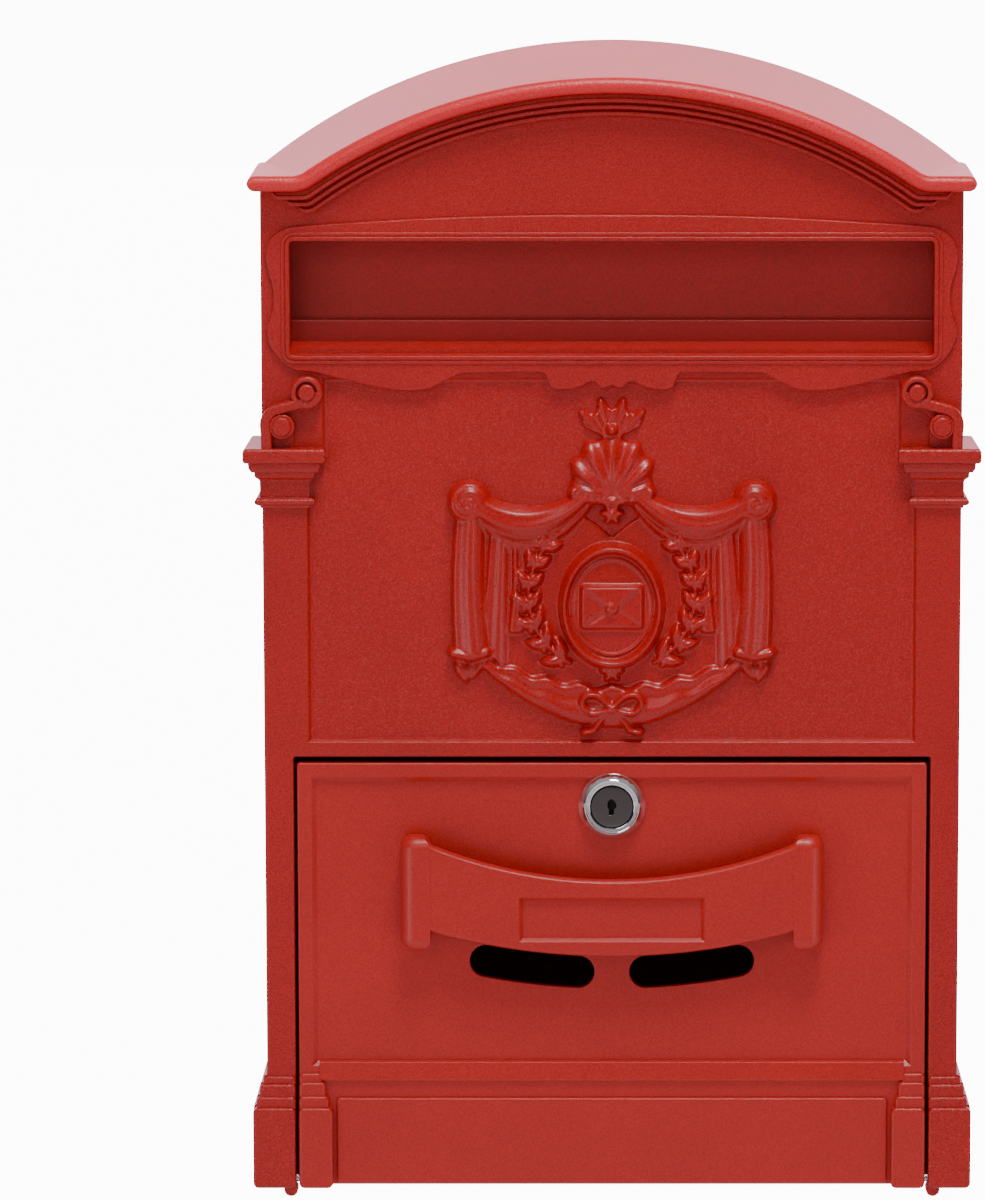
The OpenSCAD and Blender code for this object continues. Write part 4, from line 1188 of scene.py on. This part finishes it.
screw_low, screw_high = box_mm("ornament_screws")
ROSETTES = (screw_low[2] + 3.0, screw_high[2] - 3.0)


def rosettes(x, z):
    """Six-petalled flowers that cover the two places where the relief is screwed on."""
    high = np.full(x.shape, -1.0)
    for middle in ROSETTES:
        r, turn = np.hypot(x, z - middle), np.arctan2(z - middle, x)
        petals = 4.4 * (0.82 + 0.18 * np.cos(6 * turn))
        high = np.maximum(high, np.where(r < petals, 4.2 + 0.7 * np.cos(6 * turn) * r / 4.4
                                         - 1.4 * (r / petals)**4, -1))
        high = np.maximum(high, ball_relief(x, z, (0, middle), 1.5, 5.4))
    return high


def tassel(x, z):
    """A cord that hangs between the falls, with a ball and a skirt."""
    cord = cord_relief(x, z, np.array([(34.2, 238.5), (34.2, 215)]), 0.9, 2.8, 9)
    ball = ball_relief(x, z, (34.2, 213.0), 2.2, 3.9)
    u = (x - 34.2) / (1.6 + 0.12 * (211 - z))
    skirt = np.where((np.abs(u) < 1) & (z < 211.4) & (z > 200.5),
                     (3.0 + 0.5 * np.cos(np.pi * 5 * u)) * round_top(np.abs(u)**2), -1)
    return np.maximum.reduce([cord, ball, skirt])


# %% The relief as one skin
def relief(x, z):
    """The highest motif at each point, mirrored by taking X without its sign."""
    right = np.abs(x)
    motifs = (ground, cloth_top, cloth_fall, inner_fall, cloth_low, corner_roll, oval_card,
              sprays, shell, rays, bow, rosettes, tassel)
    return np.maximum.reduce([motif(right, z) for motif in motifs])


def soften(high, times=2):
    """Each pass is a quarter of both neighbours and half of itself, along X and then Z."""
    for _ in range(times):
        for axis in (0, 1):
            high = (np.roll(high, 1, axis) + np.roll(high, -1, axis)) / 4 + high / 2
    return high


def relief_piece(step=0.42):
    """The grid's front skin is at the field's depth less the height, its back is flat,
    and a rim of quads joins the two."""
    xs = np.arange(-58.8, 58.81, step)
    zs = np.arange(161.6, 285.5, step)
    x, z = np.meshgrid(xs, zs)
    high = soften(relief(x, z))
    rows, columns = x.shape
    front = np.stack([x, FIELD - high, z], -1).reshape(-1, 3)
    rim_ids = np.concatenate([np.arange(columns), np.arange(1, rows) * columns + columns - 1,
                              (rows - 1) * columns + np.arange(columns - 2, -1, -1),
                              np.arange(rows - 2, 0, -1) * columns])
    back = front[rim_ids] * [1, 0, 1] + [0, FIELD + 1.6, 0]
    n, first = len(rim_ids), rows * columns
    j = np.arange(n)
    wall = np.stack([rim_ids, first + j, first + (j + 1) % n, np.roll(rim_ids, -1)], 1)
    faces = net(rows, columns, False, False) + wall.tolist() + [list(range(first, first + n))[::-1]]
    print("relief grid", rows, "x", columns, "highest", round(float(high.max()), 2), "mm")
    return outward((np.vstack([front, back]), faces))


made("relief", relief_piece(), "case", relief_paint, ["relief_ornament"], 60)

# %% [markdown]
# ## The other pieces
#
# The sheet case, the back plate, the flap, its rod and brackets and all the small
# fixings are right as they come from the frame. A copy of each gets merged corners and a
# small bevel, so that its edges catch the light, and a finish.

# %% Bevelled copies of the plain pieces
def finish_node(name, finish, bevel=0.0):
    """Copies a node's mesh, merges its loose corners and rounds its edges. A node whose
    bevel is nothing keeps its own mesh and only gets the finish."""
    node = frame["nodes"][name]
    if bevel <= 0:
        node.data.materials.clear()
        node.data.materials.append(finish)
        return node
    mesh = node.data.copy()
    mesh.name = name + "_finished"
    bm = bmesh.new()
    bm.from_mesh(mesh)
    bmesh.ops.remove_doubles(bm, verts=bm.verts, dist=2e-6)
    bmesh.ops.dissolve_limit(bm, angle_limit=math.radians(0.5), verts=bm.verts, edges=bm.edges)
    bm.to_mesh(mesh)
    bm.free()
    mesh.shade_smooth()
    mesh.set_sharp_from_angle(angle=math.radians(30))
    mesh.materials.clear()
    mesh.materials.append(finish)
    piece = bpy.data.objects.new(name + "_finished", mesh)
    bpy.context.scene.collection.objects.link(piece)
    mod = piece.modifiers.new("Eased edges", "BEVEL")
    mod.width, mod.segments, mod.limit_method = bevel * MM, 2, "ANGLE"
    mod.angle_limit = math.radians(40)
    mod.use_clamp_overlap = True
    flats_stay_flat(piece)
    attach(piece, node["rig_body"])
    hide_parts(name)
    return piece


for name, finish, slot, bevel in [
        ("case_shell", sheet_paint, "sheet_paint", 0.25),
        ("back_plate", sheet_paint, "sheet_paint", 0.25),
        ("flap", sheet_paint, "sheet_paint", 0.2),
        ("flap_bracket_left", sheet_paint, "sheet_paint", 0.2),
        ("flap_bracket_right", sheet_paint, "sheet_paint", 0.2),
        ("flap_rod", zinc, "zinc_steel", 0.3), ("rod_clips", zinc, "zinc_steel", 0.0),
        ("hinge_pin_left", zinc, "zinc_steel", 0.3), ("hinge_pin_right", zinc, "zinc_steel", 0.3),
        ("lock_nut", nickel, "nickel", 0.25), ("lock_cam", zinc, "zinc_steel", 0.25),
        ("cam_washer", zinc, "zinc_steel", 0.1), ("cam_screw", zinc, "zinc_steel", 0.2),
        ("door_buffers", rubber, "rubber", 0.3),
        ("back_screws", zinc, "zinc_steel", 0.3), ("case_screws", zinc, "zinc_steel", 0.3),
        ("roof_screws", zinc, "zinc_steel", 0.3), ("ornament_screws", zinc, "zinc_steel", 0.3),
        ("bracket_screws", zinc, "zinc_steel", 0.3), ("handle_screws", zinc, "zinc_steel", 0.3)]:
    finish_node(name, finish, bevel)

# %% [markdown]
# ## Floor, light and camera
#
# A pale floor lies below the box, under a pale sky. One lamp hangs over the roof, one
# stands behind the camera, and two stand low at the sides, as light thrown back by a
# white table: they pick out the lower edges of the mouldings. The roof's pale sheen is
# the white screen behind the box, mirrored at a low angle, and also the roof's paler
# paint, which is painted light.

# %% The floor
SEEN = 12.0                          # how bright the floor and the sky look straight on


def floor_piece(half=14.0, level=-0.62):
    """A square at one height, wide enough to reach past the picture."""
    mesh = bpy.data.meshes.new("floor")
    corners = np.array([(-1, -1), (1, -1), (1, 1), (-1, 1)], float) * half
    points = np.column_stack([corners, np.full(4, level)])
    mesh.from_pydata(points.tolist(), [], [[0, 1, 2, 3]])
    m, t, shader = fresh("Pale floor")
    shader.inputs["Base Color"].default_value = (0.93, 0.93, 0.93, 1)
    shader.inputs["Roughness"].default_value = 0.9
    shader.inputs["Emission Color"].default_value = (1, 1, 1, 1)
    eye = node_in(t, "ShaderNodeLightPath", (-600, 0))
    glow = value_range(t, (-300, -200), eye.outputs["Is Camera Ray"], 0, 1, 0, SEEN)
    t.links.new(glow, shader.inputs["Emission Strength"])
    mesh.materials.append(m)
    piece = bpy.data.objects.new("floor", mesh)
    bpy.context.scene.collection.objects.link(piece)
    return piece


floor_piece()


# %% Lights and sky
def soft_lamp(name, place, aim, size, watts):
    """A square area lamp at a place, turned to face its aim."""
    data = bpy.data.lights.new(name, "AREA")
    data.shape, data.size, data.energy = "SQUARE", size, watts
    lamp = bpy.data.objects.new(name, data)
    lamp.location = place
    lamp.rotation_euler = (Vector(aim) - Vector(place)).to_track_quat("-Z", "Y").to_euler()
    bpy.context.scene.collection.objects.link(lamp)
    return lamp


soft_lamp("overhead", (0.15, -0.70, 1.50), (0, -0.03, 0.1), 0.5, 19)
soft_lamp("front_fill", (-0.9, -2.6, 1.3), (0, -0.05, 0.0), 1.0, 10)
soft_lamp("left_low", (-1.35, -1.25, -0.35), (0, -0.05, -0.1), 0.6, 3.5)
soft_lamp("right_low", (1.35, -1.25, -0.35), (0, -0.05, -0.1), 0.6, 2.5)


def pale_sky(zenith=0.36, horizon=0.05, ground=0.13, behind=3.3):
    """A sky that is brightest overhead, dim at eye level and pale again below, with a
    faintly pink screen behind the box, which the roof mirrors at a low angle. Seen
    straight, it is plain white."""
    sky = bpy.data.worlds.new("Pale sky")
    bpy.context.scene.world = sky
    sky.use_nodes = True
    t = sky.node_tree
    where = node_in(t, "ShaderNodeTexCoord", (-1100, 0))
    split = node_in(t, "ShaderNodeSeparateXYZ", (-900, 0))
    t.links.new(where.outputs["Generated"], split.inputs[0])
    above = value_range(t, (-700, 100), split.outputs["Z"], 0, 0.8, horizon, zenith)
    below = value_range(t, (-700, -150), split.outputs["Z"], 0, -0.5, 0, ground - horizon)
    depth = value_range(t, (-700, -400), split.outputs["Y"], 0.35, 0.9, 0, behind)
    band = value_range(t, (-700, -650), split.outputs["Z"], 0.75, 0.3, 0, 1)
    lift = value_range(t, (-700, -900), split.outputs["Z"], -0.12, 0.0, 0, 1)
    screen = node_in(t, "ShaderNodeMath", (-500, -500), operation="MULTIPLY")
    cut = node_in(t, "ShaderNodeMath", (-400, -600), operation="MULTIPLY")
    both = node_in(t, "ShaderNodeMath", (-400, 0), operation="ADD")
    total = node_in(t, "ShaderNodeMath", (-250, -100), operation="ADD")
    eye = node_in(t, "ShaderNodeLightPath", (-500, 400))
    pick = node_in(t, "ShaderNodeMix", (-100, 100), {"B": SEEN}, data_type="FLOAT")
    background = t.nodes["Background"]
    link_all(t, [
        (above, both.inputs[0]), (below, both.inputs[1]), (both.outputs[0], total.inputs[0]),
        (depth, screen.inputs[0]), (band, screen.inputs[1]), (screen.outputs[0], cut.inputs[0]),
        (lift, cut.inputs[1]), (cut.outputs[0], total.inputs[1]),
        (total.outputs[0], pick.inputs["A"]),
        (eye.outputs["Is Camera Ray"], pick.inputs["Factor"]),
        (pick.outputs[0], background.inputs["Strength"]),
    ])
    blush = value_range(t, (-700, -1150), split.outputs["Y"], 0.2, 0.6, 0, 1)
    unseen = value_range(t, (-500, 650), eye.outputs["Is Camera Ray"], 0, 1, 1, 0)
    share = node_in(t, "ShaderNodeMath", (-300, 650), operation="MULTIPLY")
    tone = node_in(t, "ShaderNodeMixRGB", (-100, 450), {1: (1, 1, 1, 1), 2: (1, 0.60, 0.68, 1)})
    link_all(t, [(blush, share.inputs[0]), (unseen, share.inputs[1]),
                 (share.outputs[0], tone.inputs[0]), (tone.outputs[0], background.inputs["Color"])])


pale_sky()

# %% The camera
lens_data = bpy.data.cameras.new("camera")
lens_data.sensor_fit, lens_data.sensor_width = "AUTO", 36.0
lens_data.lens = 166.8
lens_data.shift_x = -0.0995
LOOKS_DOWN = 7.684                   # degrees
camera = bpy.data.objects.new("camera", lens_data)
camera.location = (0.0, -2.0303, 0.2853)
camera.rotation_euler = (math.radians(90 - LOOKS_DOWN), 0, 0)
lens_data.clip_start, lens_data.clip_end = 0.1, 60
bpy.context.scene.collection.objects.link(camera)
bpy.context.scene.camera = camera
print("camera looks from", tuple(round(v, 3) for v in camera.location))
